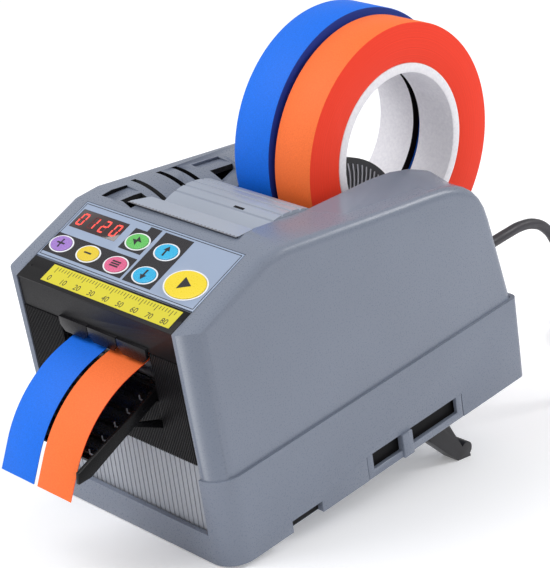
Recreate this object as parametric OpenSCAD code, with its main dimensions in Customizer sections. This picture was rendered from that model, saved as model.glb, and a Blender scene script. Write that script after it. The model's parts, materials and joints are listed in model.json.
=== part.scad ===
// Electric dispenser that feeds, measures and cuts strips of adhesive tape from two rolls.
// The machine is drawn level, front face on y = 0 and base on z = 0, and stand() then tips it
// forward onto its front feet and its two folding rear legs.

/* [Casing] */
// Width over the base
body_w = 136; // [130:1:150]
// Length of the base from front to rear
body_len = 206; // [203:1:215]
// Height of the joint between base and upper casing
parting_h = 45.4; // [42:0.2:48]
// How far the base stands proud of the upper casing
ledge = 1.5; // [1:0.1:2]
// Wall of the mouldings
wall = 2.5; // [2:0.1:3]
// Rounding of the top and rear edges of the casing
edge_r = 5; // [4:0.5:7]
// Rounding of the two upright front corners
front_r = 12; // [9:0.5:12]
// Height of the front edge of the control slope
front_h = 120.3; // [118:0.1:122]
// Pitch of the control slope
slope_a = 19.7; // [18:0.1:21]
// Length of the control slope
slope_len = 51.5; // [51.5:0.5:54]
// Width of the front opening between the side cheeks
front_w = 109; // [106:0.5:111]
// Height of the lip below the apron
lip_h = 15.3; // [12:0.1:18]
// Height of the lower edge of the front panel
apron_h = 51.8; // [50:0.1:55]
// Forward lean of the machine on its rear legs
tilt = 11.5; // [10.5:0.1:12.5]

/* [Tape] */
// Width of one tape
tape_w = 23.8; // [20:0.2:25]
// Outer radius of the orange roll
orange_r = 62.7; // [58:0.1:64]
// Outer radius of the blue roll
blue_r = 64.3; // [58:0.1:65.5]
// Inside radius of a roll core
core_r = 38.2; // [37.5:0.1:38.5]
// Wall of a roll core
core_wall = 4.7; // [3:0.1:6]
// Sideways place of the tape path
path_x = 4; // [2:0.1:6]
// Width of the roll bay
bay_w = 68; // [66:0.5:70]
// Thickness of the tape strip
strip_t = 0.3; // [0.2:0.05:0.4]
// Bend radius of the strips beyond the outlet
strip_r = 60; // [50:1:70]

/* [Controls] */
// Half width of a small button
button_r = 6.6; // [5.5:0.1:6.8]
// Half width of the start button
start_r = 11.8; // [10:0.1:12]
// Height of an oval button as a share of its width
button_oval = 0.68; // [0.6:0.01:0.8]
// Travel of a button
button_travel = 0.5; // [0.3:0.1:0.6]
// Clearance round a button
button_gap = 0.25; // [0.2:0.05:0.4]
// Thickness of the control overlay
overlay_t = 0.8; // [0.5:0.1:1]

/* [Drive] */
// Radius of the rubber feed roller
feed_r = 10; // [9.5:0.1:10.2]
// Radius of the pressure roller
press_r = 7.5; // [7:0.1:7.8]
// Radius of the feed shaft
shaft_r = 3; // [2.5:0.1:3.5]
// Teeth of the feed gear
gear_teeth = 36; // [30:1:40]
// Teeth of the motor pinion
pinion_teeth = 12; // [10:1:14]
// Tooth module of the feed gears
gear_module = 1; // [0.95:0.01:1.05]
// Radial clearance of a running shaft
run_gap = 0.05; // [0.02:0.01:0.1]
// Radius of a support roller
support_r = 6; // [5:0.1:6.5]
// Crank radius of the cutter
crank_r = 12; // [11:0.1:12.5]
// Travel of the moving blade
blade_travel = 5; // [4.5:0.1:5.2]

/* [Legs] */
// Width of a rear leg
leg_w = 10; // [8:0.5:11]
// Radius of a leg hinge pin
leg_pin_r = 2; // [1.6:0.1:2.4]
// Length of a rear leg from its pin to its sole
leg_len = 46; // [44:0.5:46.5]

/* [Cord] */
// Diameter of the supply cord
cord_d = 5.5; // [5:0.1:5.6]

/* [Hidden] */
$fn = 64;

eps = 0.02;
big = 400;
slack = 0.3;
base_hw = body_w/2;
upper_hw = base_hw - ledge;
front_hw = front_w/2;
bay_y = 66.5;
bay_hw = bay_w/2;
bay_l = path_x - bay_hw;
bay_r = path_x + bay_hw;
cheek = 2;

// Side outline of the upper casing, from the front foot round to the rear
slope_y = -1.5;
slope_top = [slope_y + slope_len*cos(slope_a), front_h + slope_len*sin(slope_a)];
ridge = [slope_top[0] + 13.5, slope_top[1] + 0.5];
fall = [body_len - 49, ridge[1] - 15];
rear_low = [body_len - 11.5, fall[1] - 29.7];
rear_foot = [body_len - 2, parting_h];
rear_turn = [fall, fall + 19*unit(fall - ridge), rear_low - 21*unit(rear_foot - rear_low), rear_low];
turn_steps = 8;
function bend(p, t) = pow(1 - t, 3)*p[0] + 3*t*pow(1 - t, 2)*p[1] + 3*t*t*(1 - t)*p[2] + pow(t, 3)*p[3];
function outline(low) = concat([[0, low], [slope_y, front_h], slope_top, ridge],
    [for (k = [0:turn_steps]) bend(rear_turn, k/turn_steps)], [rear_foot, [rear_foot[0] + 0.5, low]]);

// Rolls and the rollers that carry them
roll_y = bay_y + 109.2;
roll_z = 129.4;
front_roller_a = -28;
rear_roller_a = 2;
function beside_roll(a) = [roll_y, roll_z]
    + (orange_r + support_r + slack)*[sin(a), -cos(a)];
front_roller = beside_roll(front_roller_a);
rear_roller = beside_roll(rear_roller_a);
roller_shaft_r = 2.5;
lift_a = (front_roller_a + rear_roller_a)/2;
orange_at = [roll_y, roll_z];
blue_lift = (blue_r - orange_r)/cos((rear_roller_a - front_roller_a)/2);
blue_at = orange_at + blue_lift*up(lift_a);
core_out_r = core_r + core_wall;
roll_gap = 2.4;
orange_x = path_x + roll_gap/2;
blue_x = path_x - roll_gap/2 - tape_w;

// Feed nip, tape line and outlet
feed_y = bay_y + 16;
feed_z = 103.6;
wrap_r = feed_r + slack + strip_t/2;
press_z = feed_z + wrap_r + strip_t/2 + slack + press_r;
tape_a = 11.75;
function tape_z(y) = feed_z + wrap_r/cos(tape_a) - (feed_y - y)*tan(tape_a);
bend_y = -6;
bend_turn = 50;
tail_len = 14;
function strip_bend(a) = [bend_y - strip_r*(sin(a) - sin(tape_a)),
    tape_z(bend_y) - strip_r*(cos(tape_a) - cos(a))];
strip_end = strip_bend(tape_a + bend_turn)
    - tail_len*[cos(tape_a + bend_turn), sin(tape_a + bend_turn)];
blade_y = 9.9;
blade_t = 1.2;
cut_gap = 0.3;

// Standing frame: ground just below the front edge, origin at the middle of the footprint
ground = -0.8;
function down_y(p) = p[0]*cos(tilt) - p[1]*sin(tilt);
mid_y = (down_y(strip_end) + down_y(blue_at) + blue_r)/2;
function ground_z(y) = (ground - y*sin(tilt))/cos(tilt);

module stand() {
    translate([0, -mid_y, -ground]) rotate([tilt, 0, 0]) children();
}

// The front face, which leans forward from the joint of the casing to the control slope
module on_front() {
    translate([0, 0, parting_h]) rotate([atan(-slope_y/(front_h - parting_h)), 0, 0])
        translate([0, 0, -parting_h]) children();
}

module on_slope() {
    translate([0, slope_y, front_h]) rotate([slope_a, 0, 0]) children();
}

// A side outline [y, z] drawn from x0 over a width w
module slab(x0, w) {
    translate([x0, 0, 0]) rotate([90, 0, 90]) linear_extrude(w) children();
}

// A box given by its low and high corners
module block(low, high) {
    translate(low) cube(high - low);
}

// A cylinder along X at [y, z]
module rod(x0, x1, at, r) {
    translate([x0, at[0], at[1]]) rotate([0, 90, 0]) cylinder(r = r, h = x1 - x0);
}

// A cylinder along Y at [x, z]
module post_y(y0, y1, at, r) {
    translate([at[0], y0, at[1]]) rotate([-90, 0, 0]) cylinder(r = r, h = y1 - y0);
}

module below_ground() {
    rotate([-tilt, 0, 0]) translate([-big, -big, ground - big]) cube([2*big, 2*big, big]);
}

casing_grey = [0.50, 0.54, 0.60];
panel_black = [0.10, 0.095, 0.11];
steel = [0.70, 0.71, 0.73];
board_green = [0.12, 0.38, 0.22];

// A plan with four corners of one radius, drawn in by an inset
module plan(r, hw, front, rear, inset) {
    offset(r = r - inset) offset(delta = -r) translate([-hw, front]) square([2*hw, rear - front]);
}

// Upper casing
module casing_form(inset) {
    r = edge_r - inset;
    intersection() {
        hull() for (side = [-1, 1], a = [0:18:90])
            slab(side*(upper_hw - edge_r + r*sin(a)) - eps/2, eps)
                offset(delta = -inset - r*(1 - cos(a))) polygon(outline(parting_h - 2*edge_r));
        on_front() linear_extrude(big) plan(front_r, upper_hw, 0, 2*body_len, inset);
    }
}

cover_pin = [bay_y + 4.5, 124];
cover_pin_r = 2;
cover_pin_len = cheek + 0.4;
flap_pin_s = 7.8;
flap_pin_n = -2.2;
flap_pin_r = 1.5;
flap_len = 13.6;
skin_s = 14.3;
boss_x = base_hw - 10;
boss_ys = [22, body_len - 15];
boss_r = 4;
boss_h = 14;
screw_r = 1.5;
cord_exit = [50, 68.6];
gland_r = 6;
gland_collar_r = 3.9;
gland_seat = body_len - 7.6;

// Buttons as [x, distance up the slope, half width]
plus_at = [-46, 24.1, button_r];
minus_at = [-26.1, 23.8, button_r];
set_at = [-6, 23.4, button_r];
mode_at = [-6, 38.9, button_r];
up_at = [14.2, 38.7, button_r];
down_at = [14.1, 23.4, button_r];
start_at = [39.3, 25.9, start_r];
buttons = [plus_at, minus_at, set_at, mode_at, up_at, down_at, start_at];
overlay_s = [14.6, 51];
display_x = [-52.3, -19];
display_s = [34.9, 46.7];
display_mid = [(display_x[0] + display_x[1])/2, (display_s[0] + display_s[1])/2];

// An oval in the plane of the panel
module oval(half_w, grow) {
    half_h = half_w*button_oval;
    polygon([for (i = [0:7.5:352.5]) [(half_w + grow)*cos(i), (half_h + grow)*sin(i)]]);
}

module button_holes(low, high) {
    for (b = buttons) translate([b[0], b[1], low]) linear_extrude(high - low) oval(b[2], button_gap);
}

// Left shoulder: rounded over towards the roll bay, with three slots and a recess at each end
slot_ys = [77, 93, 103];
slot_w = 3;
slot_low = 123;
shoulder_x = [-57, bay_l - cheek - 2];
barrel_x = -53;
barrel_r = 42;
barrel_a = 3;
barrel_y = [52, 132];
pocket_ys = [[54, 70], [111, 129]];
pocket_x = [-53, bay_l - cheek - 2];
pocket_depth = 1.4;
well_x = -43;
top_a = atan2(fall[1] - ridge[1], fall[0] - ridge[0]);

// A shape [x, height above the top] drawn along the falling top edge between two places
module along_top(y0, y1) {
    translate([0, ridge[0], ridge[1]]) rotate([top_a, 0, 0]) translate([0, y1 - ridge[0], 0])
        rotate([90, 0, 0]) linear_extrude(y1 - y0) children();
}

// What lies above the rounding, to a little way past the side of the roll bay
module above_barrel(r, past) {
    difference() {
        translate([barrel_x - 2, -barrel_r/2]) square([bay_l + past - barrel_x + 2, barrel_r]);
        translate([barrel_x - barrel_r*sin(barrel_a), -barrel_r*cos(barrel_a)]) circle(r = r, $fn = 96);
    }
}

// Crown of the right shoulder, as [y, inner z, outer z] from the end of the falling top
crown_line = [[-57, 8.8, 7.8], [-14, 6.3, 1.2], [0, 4.3, -1], [13, 0.6, -3.9], [26, -5.7, -11.7]];
crown_depth = 6;

module shoulder_crown() {
    hull() for (p = crown_line) translate([0, fall[0] + p[0], fall[1]]) {
        translate([bay_r - 1, 0, p[1] - crown_depth]) cube([2.5, eps, crown_depth]);
        translate([upper_hw - edge_r - 3, 0, p[2] - 1]) cube([1, eps, 1]);
    }
}

module upper_casing() {
    color(casing_grey) stand() difference() {
        union() {
            intersection() {
                casing_form(0);
                block([-big, -big, parting_h], [big, big, big]);
            }
            shoulder_crown();
        }
        difference() {
            casing_form(wall);
            for (x = [bay_l - cheek, bay_r]) block([x, bay_y, 0], [x + cheek, big, big]);
            for (x = [-front_hw - cheek, front_hw]) block([x, 2*slope_y, 0], [x + cheek, 20, big]);
            along_top(barrel_y[0] - wall, barrel_y[1] + wall) above_barrel(barrel_r - wall, 0.2);
            for (side = [-1, 1], y = boss_ys) {
                translate([side*boss_x, y, parting_h]) cylinder(r = boss_r, h = boss_h);
                translate([side*(boss_x + boss_r), y, parting_h + boss_h/2])
                    cube([2*boss_r, wall, boss_h], center = true);
            }
        }
        block([-front_hw, 2*slope_y, 0], [front_hw, wall + 0.5, front_h + 3]);
        on_slope() {
            block([-front_hw, -5, -wall - 2], [front_hw, skin_s, 10]);
            block([-front_hw - slack, overlay_s[0] - slack, -overlay_t],
                [front_hw + slack, overlay_s[1] + slack, 10]);
            button_holes(-wall - 2, 1);
            block([display_x[0], display_s[0], -wall - 2], [display_x[1], display_s[1], 1]);
            translate([0, flap_pin_s, flap_pin_n]) rotate([0, 90, 0])
                cylinder(r = flap_pin_r + run_gap, h = 2*front_hw + 2*cheek - 0.6, center = true);
        }
        block([bay_l, bay_y, 0], [bay_r, big, big]);
        rod(bay_l - cheek - 1, bay_r + cheek + 1, cover_pin, cover_pin_r + run_gap);
        rod(bay_l - cheek - 1, bay_r + cheek + 1, [feed_y, feed_z], shaft_r + 1);
        for (p = [front_roller, rear_roller])
            rod(bay_l - cheek - 1, bay_r + cheek + 1, p, roller_shaft_r + run_gap);
        for (y = slot_ys)
            block([shoulder_x[0], y - slot_w/2, slot_low], [shoulder_x[1], y + slot_w/2, big]);
        along_top(barrel_y[0], barrel_y[1]) above_barrel(barrel_r, 1);
        for (p = pocket_ys) {
            shoulder_pocket(p);
            block([well_x, p[0] + 3, slot_low], [pocket_x[1], p[1], big]);
        }
        post_y(body_len - 30, body_len + 10, cord_exit, gland_collar_r + run_gap);
        post_y(gland_seat, body_len + 10, cord_exit, gland_r + slack);
        for (side = [-1, 1], y = boss_ys)
            translate([side*boss_x, y, parting_h - 1]) cylinder(r = screw_r + run_gap, h = 13);
    }
}

// A shallow finger recess in the top of the left shoulder, parallel to the top surface
module shoulder_pocket(ys) {
    hull() for (end = ys)
        translate([pocket_x[0], end - eps, top_z(end) - pocket_depth])
            cube([pocket_x[1] - pocket_x[0], eps, 20]);
}

function lerp(p, q, y) = p[1] + (q[1] - p[1])*(y - p[0])/(q[0] - p[0]);
function top_z(y) = y < ridge[0] ? lerp(slope_top, ridge, y) : lerp(ridge, fall, y);

// Base
leg_pin = [body_len - 58.5, 5];
leg_x = base_hw - 18;
leg_gap = 0.4;
leg_bay_h = 30;
leg_bay = [leg_pin[0] - leg_len - 6, leg_pin[0] + 9];
lug_t = 3;
lug_h = 11;
leg_pin_hw = leg_w/2 + leg_gap + lug_t;
floor_t = 3;
notch = [37.5, 57.5, 6];
latch_y = [89, 158];
latch_h = 13;
foot_y = 14;
foot_x = base_hw - 16;
foot_peg_r = 2;

base_r = 4;

module base_outline(inset) {
    intersection() {
        plan(base_r, base_hw, -ledge, body_len, inset);
        plan(front_r + ledge, base_hw, -ledge, 2*body_len, inset);
    }
}

module base_tub() {
    color(casing_grey) stand() difference() {
        union() {
            difference() {
                linear_extrude(parting_h) base_outline(0);
                translate([0, 0, floor_t]) linear_extrude(parting_h) base_outline(wall);
                block([-front_hw, -big, lip_h], [front_hw, wall + 0.5, big]);
            }
            for (side = [-1, 1], y = boss_ys)
                translate([side*boss_x, y, eps]) cylinder(r = boss_r, h = parting_h - eps);
            for (side = [-1, 1], k = [-1, 1])
                translate([side*leg_x + k*(leg_w/2 + leg_gap + lug_t/2), leg_pin[0], lug_h/2 + eps])
                    cube([lug_t, lug_h, lug_h], center = true);
            for (x = [-front_hw - wall, front_hw]) block([x, 0, eps], [x + wall, 18, parting_h - eps]);
        }
        for (side = [-1, 1]) {
            block([side*leg_x - leg_w/2 - leg_gap, leg_bay[0], -1],
                [side*leg_x + leg_w/2 + leg_gap, leg_bay[1], leg_bay_h]);
            rod(side*leg_x - 12, side*leg_x + 12, leg_pin, leg_pin_r + run_gap);
            block([side*base_hw - 4, notch[0], -1], [side*base_hw + 4, notch[1], notch[2]]);
            block([side*base_hw - 4, latch_y[0], -1], [side*base_hw + 4, latch_y[1], latch_h]);
        }
        for (side = [-1, 1], y = boss_ys) translate([side*boss_x, y, -1]) {
            cylinder(r = screw_r + run_gap, h = big);
            cylinder(r = 2*screw_r, h = 5);
        }
        for (side = [-1, 1]) translate([side*foot_x, foot_y, -1])
            cylinder(r = foot_peg_r + run_gap, h = floor_t + 2);
    }
}

module side_latches() {
    bar = 4;
    rim = latch_y + [slack, -slack];
    color(casing_grey) stand() for (side = [-1, 1]) {
        x0 = side > 0 ? base_hw - wall : -base_hw;
        block([x0, rim[0], 0], [x0 + wall, rim[1], bar]);
        for (y = [rim[0], rim[1] - bar]) block([x0, y, bar - eps], [x0 + wall, y + bar, latch_h]);
        block([x0 + (side > 0 ? 0 : -ledge), 113, 0], [x0 + wall + (side > 0 ? ledge : 0), 120, latch_h]);
    }
}

module front_feet() {
    color([0.12, 0.12, 0.13]) stand() for (side = [-1, 1]) translate([side*foot_x, foot_y, 0]) {
        difference() {
            translate([0, 0, -8]) cylinder(r = 7, h = 8);
            translate([-side*foot_x, -foot_y, 0]) below_ground();
        }
        translate([0, 0, -eps]) cylinder(r = foot_peg_r, h = floor_t);
    }
}

// One rear leg: hinge eye, tapering blade and a round heel, cut level with the ground
module leg(side) {
    lean = 28;
    sole = leg_pin + leg_len*[sin(lean), -cos(lean)];
    difference() {
        slab(side*leg_x - leg_w/2, leg_w) {
            hull() {
                translate(leg_pin) circle(r = 5);
                translate(leg_pin + [4, -16]) circle(r = 6);
                translate(sole + [-2, 2]) circle(r = 3);
            }
            translate(sole + [1.5, 5]) circle(r = 4);
            translate(sole) circle(r = 4);
        }
        rod(side*leg_x - leg_w, side*leg_x + leg_w, leg_pin, leg_pin_r + run_gap);
        below_ground();
    }
}

module left_leg() { color(panel_black) stand() leg(-1); }
module right_leg() { color(panel_black) stand() leg(1); }

module leg_pins() {
    color(steel) stand() for (side = [-1, 1])
        rod(side*leg_x - leg_pin_hw, side*leg_x + leg_pin_hw, leg_pin, leg_pin_r);
}

module casing_screws() {
    color(steel) stand() for (side = [-1, 1], y = boss_ys) translate([side*boss_x, y, 0]) {
        translate([0, 0, 2.2]) cylinder(r = 1.8*screw_r, h = 1.8);
        translate([0, 0, 4 - eps]) cylinder(r = screw_r, h = parting_h + 6);
    }
}

// Front
apron_out = 1.5;
rib_pitch = 3.3;
rib_w = 2.7;
rib_depth = 0.6;

module ribbed_apron() {
    rise = apron_h - floor_t;
    lean = -atan(apron_out/rise);
    hw = front_hw - slack;
    count = floor(2*hw/rib_pitch);
    color([0.60, 0.63, 0.68]) stand() intersection() {
        translate([0, panel_y[1] + rib_depth + slack, apron_h]) rotate([lean, 0, 0]) union() {
            translate([-hw, 0, -rise/cos(lean)]) cube([2*hw, 2, rise/cos(lean)]);
            for (i = [0:count - 1])
                translate([-hw + i*rib_pitch, -rib_depth, -rise/cos(lean)])
                    cube([rib_w, rib_depth + eps, rise/cos(lean)]);
        }
        block([-big, -big, floor_t], [big, big, apron_h - 0.2]);
    }
}

panel_y = [0.6, 2.6];
flap_low = 105;
tray_x = [path_x - 23, path_x + 31];
outlet_hw = 31.3;
tray_top = [6, 88.5];
tray_tip = [-50, 68.5];
rail_h = 5;
tray_bars = 6;
short_y = -40;
rail_toe = tray_tip + [6, -rail_h];
rail_heel = tray_top - [0, rail_h];
rail_slope = (rail_heel[1] - rail_toe[1])/(rail_heel[0] - rail_toe[0]);
brace_y = 20;
brace_z = 66;
outlet_low = lerp(rail_toe, rail_heel, 2*slope_y) - slack;
function rail_z(y) = lerp(tray_tip, tray_top, y);

module front_panel() {
    hw = front_hw - slack;
    rib = 0.4;
    pitch = 1.25;
    count = floor(2*hw/pitch);
    color(panel_black) stand() difference() {
        on_front() {
            block([-hw, panel_y[0], apron_h], [hw, panel_y[1], flap_low - slack]);
            for (i = [0:count - 1]) block([-hw + (i + 0.2)*pitch, panel_y[0] - rib, apron_h],
                [-hw + (i + 0.7)*pitch, panel_y[0] + eps, flap_low - slack]);
        }
        block([path_x - outlet_hw, -big, outlet_low], [path_x + outlet_hw, big, big]);
    }
}

module outlet_tray() {
    color(panel_black) stand() {
        slab(tray_x[0], 2) polygon([tray_top, [short_y, rail_z(short_y)], [short_y, rail_z(short_y) - rail_h],
            rail_heel]);
        slab(tray_x[1] - 2, 2) polygon([tray_top, tray_tip, tray_tip - [1, rail_h], rail_toe, rail_heel]);
        slab(tray_x[1] - 2, 2) polygon([rail_heel - [brace_y, brace_y*rail_slope], rail_heel - [brace_y + 3,
            (brace_y + 3)*rail_slope - 1], [panel_y[0] - 1.2, brace_z], [panel_y[0] - 1.2, brace_z + 4]]);
        slab(tray_x[0] + 1, tray_x[1] - tray_x[0] - 2) polygon([rail_heel + [-3, 0.4], rail_heel + [-3, 1.6],
            [short_y, rail_z(short_y) - rail_h + 1.6], [short_y, rail_z(short_y) - rail_h + 0.4]]);
        for (i = [0:tray_bars - 1]) {
            k = (i + 0.3)/(tray_bars + 1);
            p = tray_top + k*(tray_tip - tray_top);
            block([tray_x[0] + 1, p[0] - 2, p[1] - 4], [tray_x[1] - 1, p[0] + 1, p[1] - 1.4]);
        }
    }
}

finger_w = 20.4;
finger_count = 3;
finger_low = 99.6;
finger_hw = 9.9;
finger_t = 1.6;
finger_r = 3;

module safety_flap() {
    hw = front_hw - slack;
    color(panel_black) stand() {
        on_slope() {
            block([-hw, 0.2, -2], [hw, flap_len, 0]);
            for (side = [-1, 1]) translate([side*(hw - 1.5), flap_pin_s, flap_pin_n])
                rotate([0, 90, 0]) cylinder(r = 2.4, h = 3, center = true);
            for (side = [-1, 1]) translate([side*(hw + cheek/2 - 0.5), flap_pin_s, flap_pin_n])
                rotate([0, 90, 0]) cylinder(r = flap_pin_r, h = cheek + 0.6, center = true);
        }
        on_front() {
            block([-hw, panel_y[0], flap_low], [hw, panel_y[1], front_h - 0.4]);
            for (i = [0:finger_count - 1])
                translate([path_x + (i - (finger_count - 1)/2)*finger_w, panel_y[0] + eps, 0])
                    rotate([90, 0, 0]) linear_extrude(finger_t)
                        polygon([[-finger_hw, flap_low + 2], [-finger_hw, finger_low + finger_r],
                            [finger_r - finger_hw, finger_low], [finger_hw - finger_r, finger_low],
                            [finger_hw, finger_low + finger_r], [finger_hw, flap_low + 2]]);
        }
    }
}

// Roller cover over the feed nip: a plain front band, then bands parted by grooves across the tape
cover_x = [bay_l + 0.6, bay_r - 0.6];
cover_front = [bay_y + 2, 130];
cover_crown = 134.6;
cover_rear = [bay_y + 38, 130];
flute_count = 4;
flute_h = 0.9;
cover_t = 2.5;

function cover_z(u) = cover_front[1] + (cover_crown - cover_front[1])*(1 - pow(2*u - 1, 2));
function cover_point(u, drop) = [cover_front[0] + u*(cover_rear[0] - cover_front[0]), cover_z(u) - drop];
flute_u = [0.32, 0.96];
function band(u) = flute_count*(u - flute_u[0])/(flute_u[1] - flute_u[0]);
function flute(u) = u > flute_u[1] ? 0 : band(u) > 0 && band(u)%1 < 0.15 ? 0 : flute_h;

module roller_cover() {
    steps = 90;
    ear_t = 2;
    color([0.62, 0.65, 0.69]) stand() {
        slab(cover_x[0], cover_x[1] - cover_x[0]) polygon(concat(
            [for (i = [0:steps]) cover_point(i/steps, -flute(i/steps))],
            [for (i = [steps:-1:0]) cover_point(i/steps, cover_t)]));
        for (x = [cover_x[0], cover_x[1] - ear_t]) {
            rod(x, x + ear_t, cover_pin, 4);
            slab(x, ear_t)
                polygon([cover_pin + [-3, 0], cover_front - [0, 1], cover_point(0.3, 1),
                    cover_pin + [6, -1]]);
        }
        for (x = [cover_x[0] - cover_pin_len, cover_x[1] - eps])
            rod(x, x + cover_pin_len + eps, cover_pin, cover_pin_r);
        for (x = [path_x - bay_hw + 3, path_x + bay_hw - 3 - ear_t]) difference() {
            slab(x, ear_t) polygon([[feed_y - 6, press_z], [feed_y - 5, press_z - 3.5],
                [feed_y + 5, press_z - 3.5], [feed_y + 6, press_z], cover_point(0.62, 1),
                cover_point(0.2, 1)]);
            rod(x - 1, x + ear_t + 1, [feed_y, press_z], cover_pin_r + run_gap);
        }
    }
}

module pressure_roller() {
    color([0.25, 0.25, 0.27]) stand() difference() {
        rod(path_x - bay_hw + 6, path_x + bay_hw - 6, [feed_y, press_z], press_r);
        rod(bay_l, bay_r, [feed_y, press_z], cover_pin_r);
    }
}

module pressure_axle() {
    color(steel) stand()
        rod(path_x - bay_hw + 2.6, path_x + bay_hw - 2.6, [feed_y, press_z], cover_pin_r);
}

// Controls
module control_overlay() {
    color([0.67, 0.71, 0.78]) stand() on_slope() difference() {
        block([-front_hw, overlay_s[0], -overlay_t], [front_hw, overlay_s[1], 0]);
        button_holes(-2, 1);
        block([display_x[0], display_s[0], -2], [display_x[1], display_s[1], 1]);
    }
}

module display_window() {
    color([0.16, 0.05, 0.06]) stand() on_slope()
        block([display_x[0], display_s[0], -wall], [display_x[1], display_s[1], -0.1]);
}

board_n = [-8.6, -7];

module display_module() {
    color([0.9, 0.9, 0.88]) stand() on_slope()
        block([display_x[0] + 1, display_s[0] + 0.5, board_n[1]],
            [display_x[1] - 1, display_s[1] - 0.5, -wall]);
}

module control_board() {
    color(board_green) stand() on_slope() {
        difference() {
            block([-53, 17, board_n[0]], [53, 49, board_n[1]]);
            block([-8, 45.5, board_n[0] - 1], [20, 60, board_n[1] + 1]);
        }
        for (x = [-52, 49], s = [32.4, 46.5]) block([x, s, board_n[1] - eps], [x + 3, s + 2.5, -wall]);
    }
}

cap_high = 0.9;
cap_low = -wall - 1.2;

module key_switches() {
    color([0.1, 0.1, 0.1]) stand() on_slope() for (b = buttons)
        translate([b[0], b[1], board_n[1]]) {
            translate([-3, -3, 0]) cube([6, 6, 2]);
            cylinder(r = 1.6, h = cap_low - board_n[1] - button_travel - 0.1);
        }
}

// A push button: crowned cap in the panel hole and a flange that keeps it in
module push_button(b) {
    on_slope() translate([b[0], b[1], 0]) {
        translate([0, 0, cap_low + 0.5]) linear_extrude(cap_high - cap_low - 0.9) oval(b[2], 0);
        translate([0, 0, cap_high - 0.4 - eps]) linear_extrude(0.4, scale = 1 - 0.5/b[2]) oval(b[2], 0);
        translate([0, 0, cap_low]) linear_extrude(0.9) oval(b[2], 1);
    }
}

module plus_button() { color([0.59, 0.43, 0.75]) stand() push_button(plus_at); }
module minus_button() { color([0.96, 0.86, 0.20]) stand() push_button(minus_at); }
module set_button() { color([0.84, 0.33, 0.49]) stand() push_button(set_at); }
module mode_button() { color([0.35, 0.75, 0.33]) stand() push_button(mode_at); }
module up_button() { color([0.12, 0.69, 0.88]) stand() push_button(up_at); }
module down_button() { color([0.12, 0.69, 0.88]) stand() push_button(down_at); }
module start_button() { color([0.96, 0.86, 0.20]) stand() push_button(start_at); }

// Frame and drive
plate_t = 1.6;
plate_low = 52;
plate_x = [bay_l, bay_r - plate_t];

module frame_plate(x) {
    color(steel) stand() difference() {
        slab(x, plate_t) polygon([[5, plate_low], [108, plate_low], [108, 110], [92, 116], [bay_y + 1, 116],
            [40, 112], [20, 106], [5, 104]]);
        rod(x - 1, x + 3, [feed_y, feed_z], shaft_r + run_gap);
    }
}

module left_frame_plate() { frame_plate(plate_x[0]); }
module right_frame_plate() { frame_plate(plate_x[1]); }

module guide_plate() {
    low = 20;
    high = feed_y - 12;
    drop = 1.4;
    color(steel) stand() slab(plate_x[0] + plate_t, bay_w - 2*plate_t)
        polygon([[low, tape_z(low) - drop], [high, tape_z(high) - drop], [high, tape_z(high) - drop - 1.2],
            [low, tape_z(low) - drop - 1.2]]);
}

module feed_roller() {
    color([0.22, 0.22, 0.24]) stand() difference() {
        rod(path_x - bay_hw + 5, path_x + bay_hw - 5, [feed_y, feed_z], feed_r);
        rod(bay_l, bay_r, [feed_y, feed_z], shaft_r);
    }
}

gear_x = bay_l - cheek - 6;
gear_w = 4;
pinion_a = -58.6;
gear_centres = gear_module*(gear_teeth + pinion_teeth)/2;
pinion_at = [feed_y, feed_z] + gear_centres*[cos(pinion_a), sin(pinion_a)];

module feed_shaft() {
    color(steel) stand() rod(gear_x - 1, bay_r + cheek, [feed_y, feed_z], shaft_r);
}

// A spur gear outline, with one tooth pointing along the first axis
module gear_outline(teeth) {
    pitch_r = gear_module*teeth/2;
    backlash = 0.12;
    tooth_a = 90/teeth;
    function turn(r, a) = r*[cos(a), sin(a)];
    polygon([for (i = [0:teeth - 1], k = [[-1.5, -1.1], [-0.45, 0.9], [0.45, 0.9], [1.5, -1.1]])
        turn(pitch_r + k[1]*gear_module, 360*i/teeth + k[0]*tooth_a*(1 - backlash))]);
}

module gear(at, teeth, first_a, x0, w, bore) {
    translate([x0, at[0], at[1]]) rotate([90, 0, 90]) difference() {
        linear_extrude(w) rotate(first_a) gear_outline(teeth);
        translate([0, 0, -1]) cylinder(r = bore, h = w + 2);
    }
}

motor_shaft_r = 1.5;

module feed_gear() {
    color([0.9, 0.88, 0.8]) stand() gear([feed_y, feed_z], gear_teeth, pinion_a, gear_x, gear_w, shaft_r);
}

module feed_pinion() {
    color([0.8, 0.68, 0.35]) stand() {
        gear(pinion_at, pinion_teeth, pinion_a + 180 + 180/pinion_teeth, gear_x, gear_w, motor_shaft_r);
        rod(gear_x - 4, gear_x + gear_w, pinion_at, motor_shaft_r);
    }
}

feed_motor_x = [-upper_hw + wall + 0.5, gear_x - 1.5];

module feed_motor() {
    color([0.55, 0.56, 0.58]) stand() difference() {
        union() {
            rod(feed_motor_x[0], feed_motor_x[1], pinion_at, 14);
            block([feed_motor_x[0], pinion_at[0] - 12, floor_t],
                [feed_motor_x[1], pinion_at[0] - 2, pinion_at[1]]);
        }
        rod(feed_motor_x[1] - 4, feed_motor_x[1] + 1, pinion_at, motor_shaft_r + run_gap);
    }
}

// Cutter: a fixed blade below the tape and a gate with the moving blade, worked by a crank
crank_at = [path_x, 76];
crank_a = asin(blade_travel/2/crank_r);
pin_at = crank_at + crank_r*[cos(crank_a), sin(crank_a)];
pin_r = 2.2;
pin_play = 0.7;
gate_low = 86;
gate_x = [plate_x[0] + plate_t + 0.9, plate_x[1] - 0.9];
edge_z = tape_z(blade_y) + 2.4;

module fixed_blade() {
    color([0.8, 0.81, 0.83]) stand()
        block([plate_x[0] + plate_t, blade_y - 1.9, gate_low], [plate_x[1], blade_y - 0.4, tape_z(8) - 0.7]);
}

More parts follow.
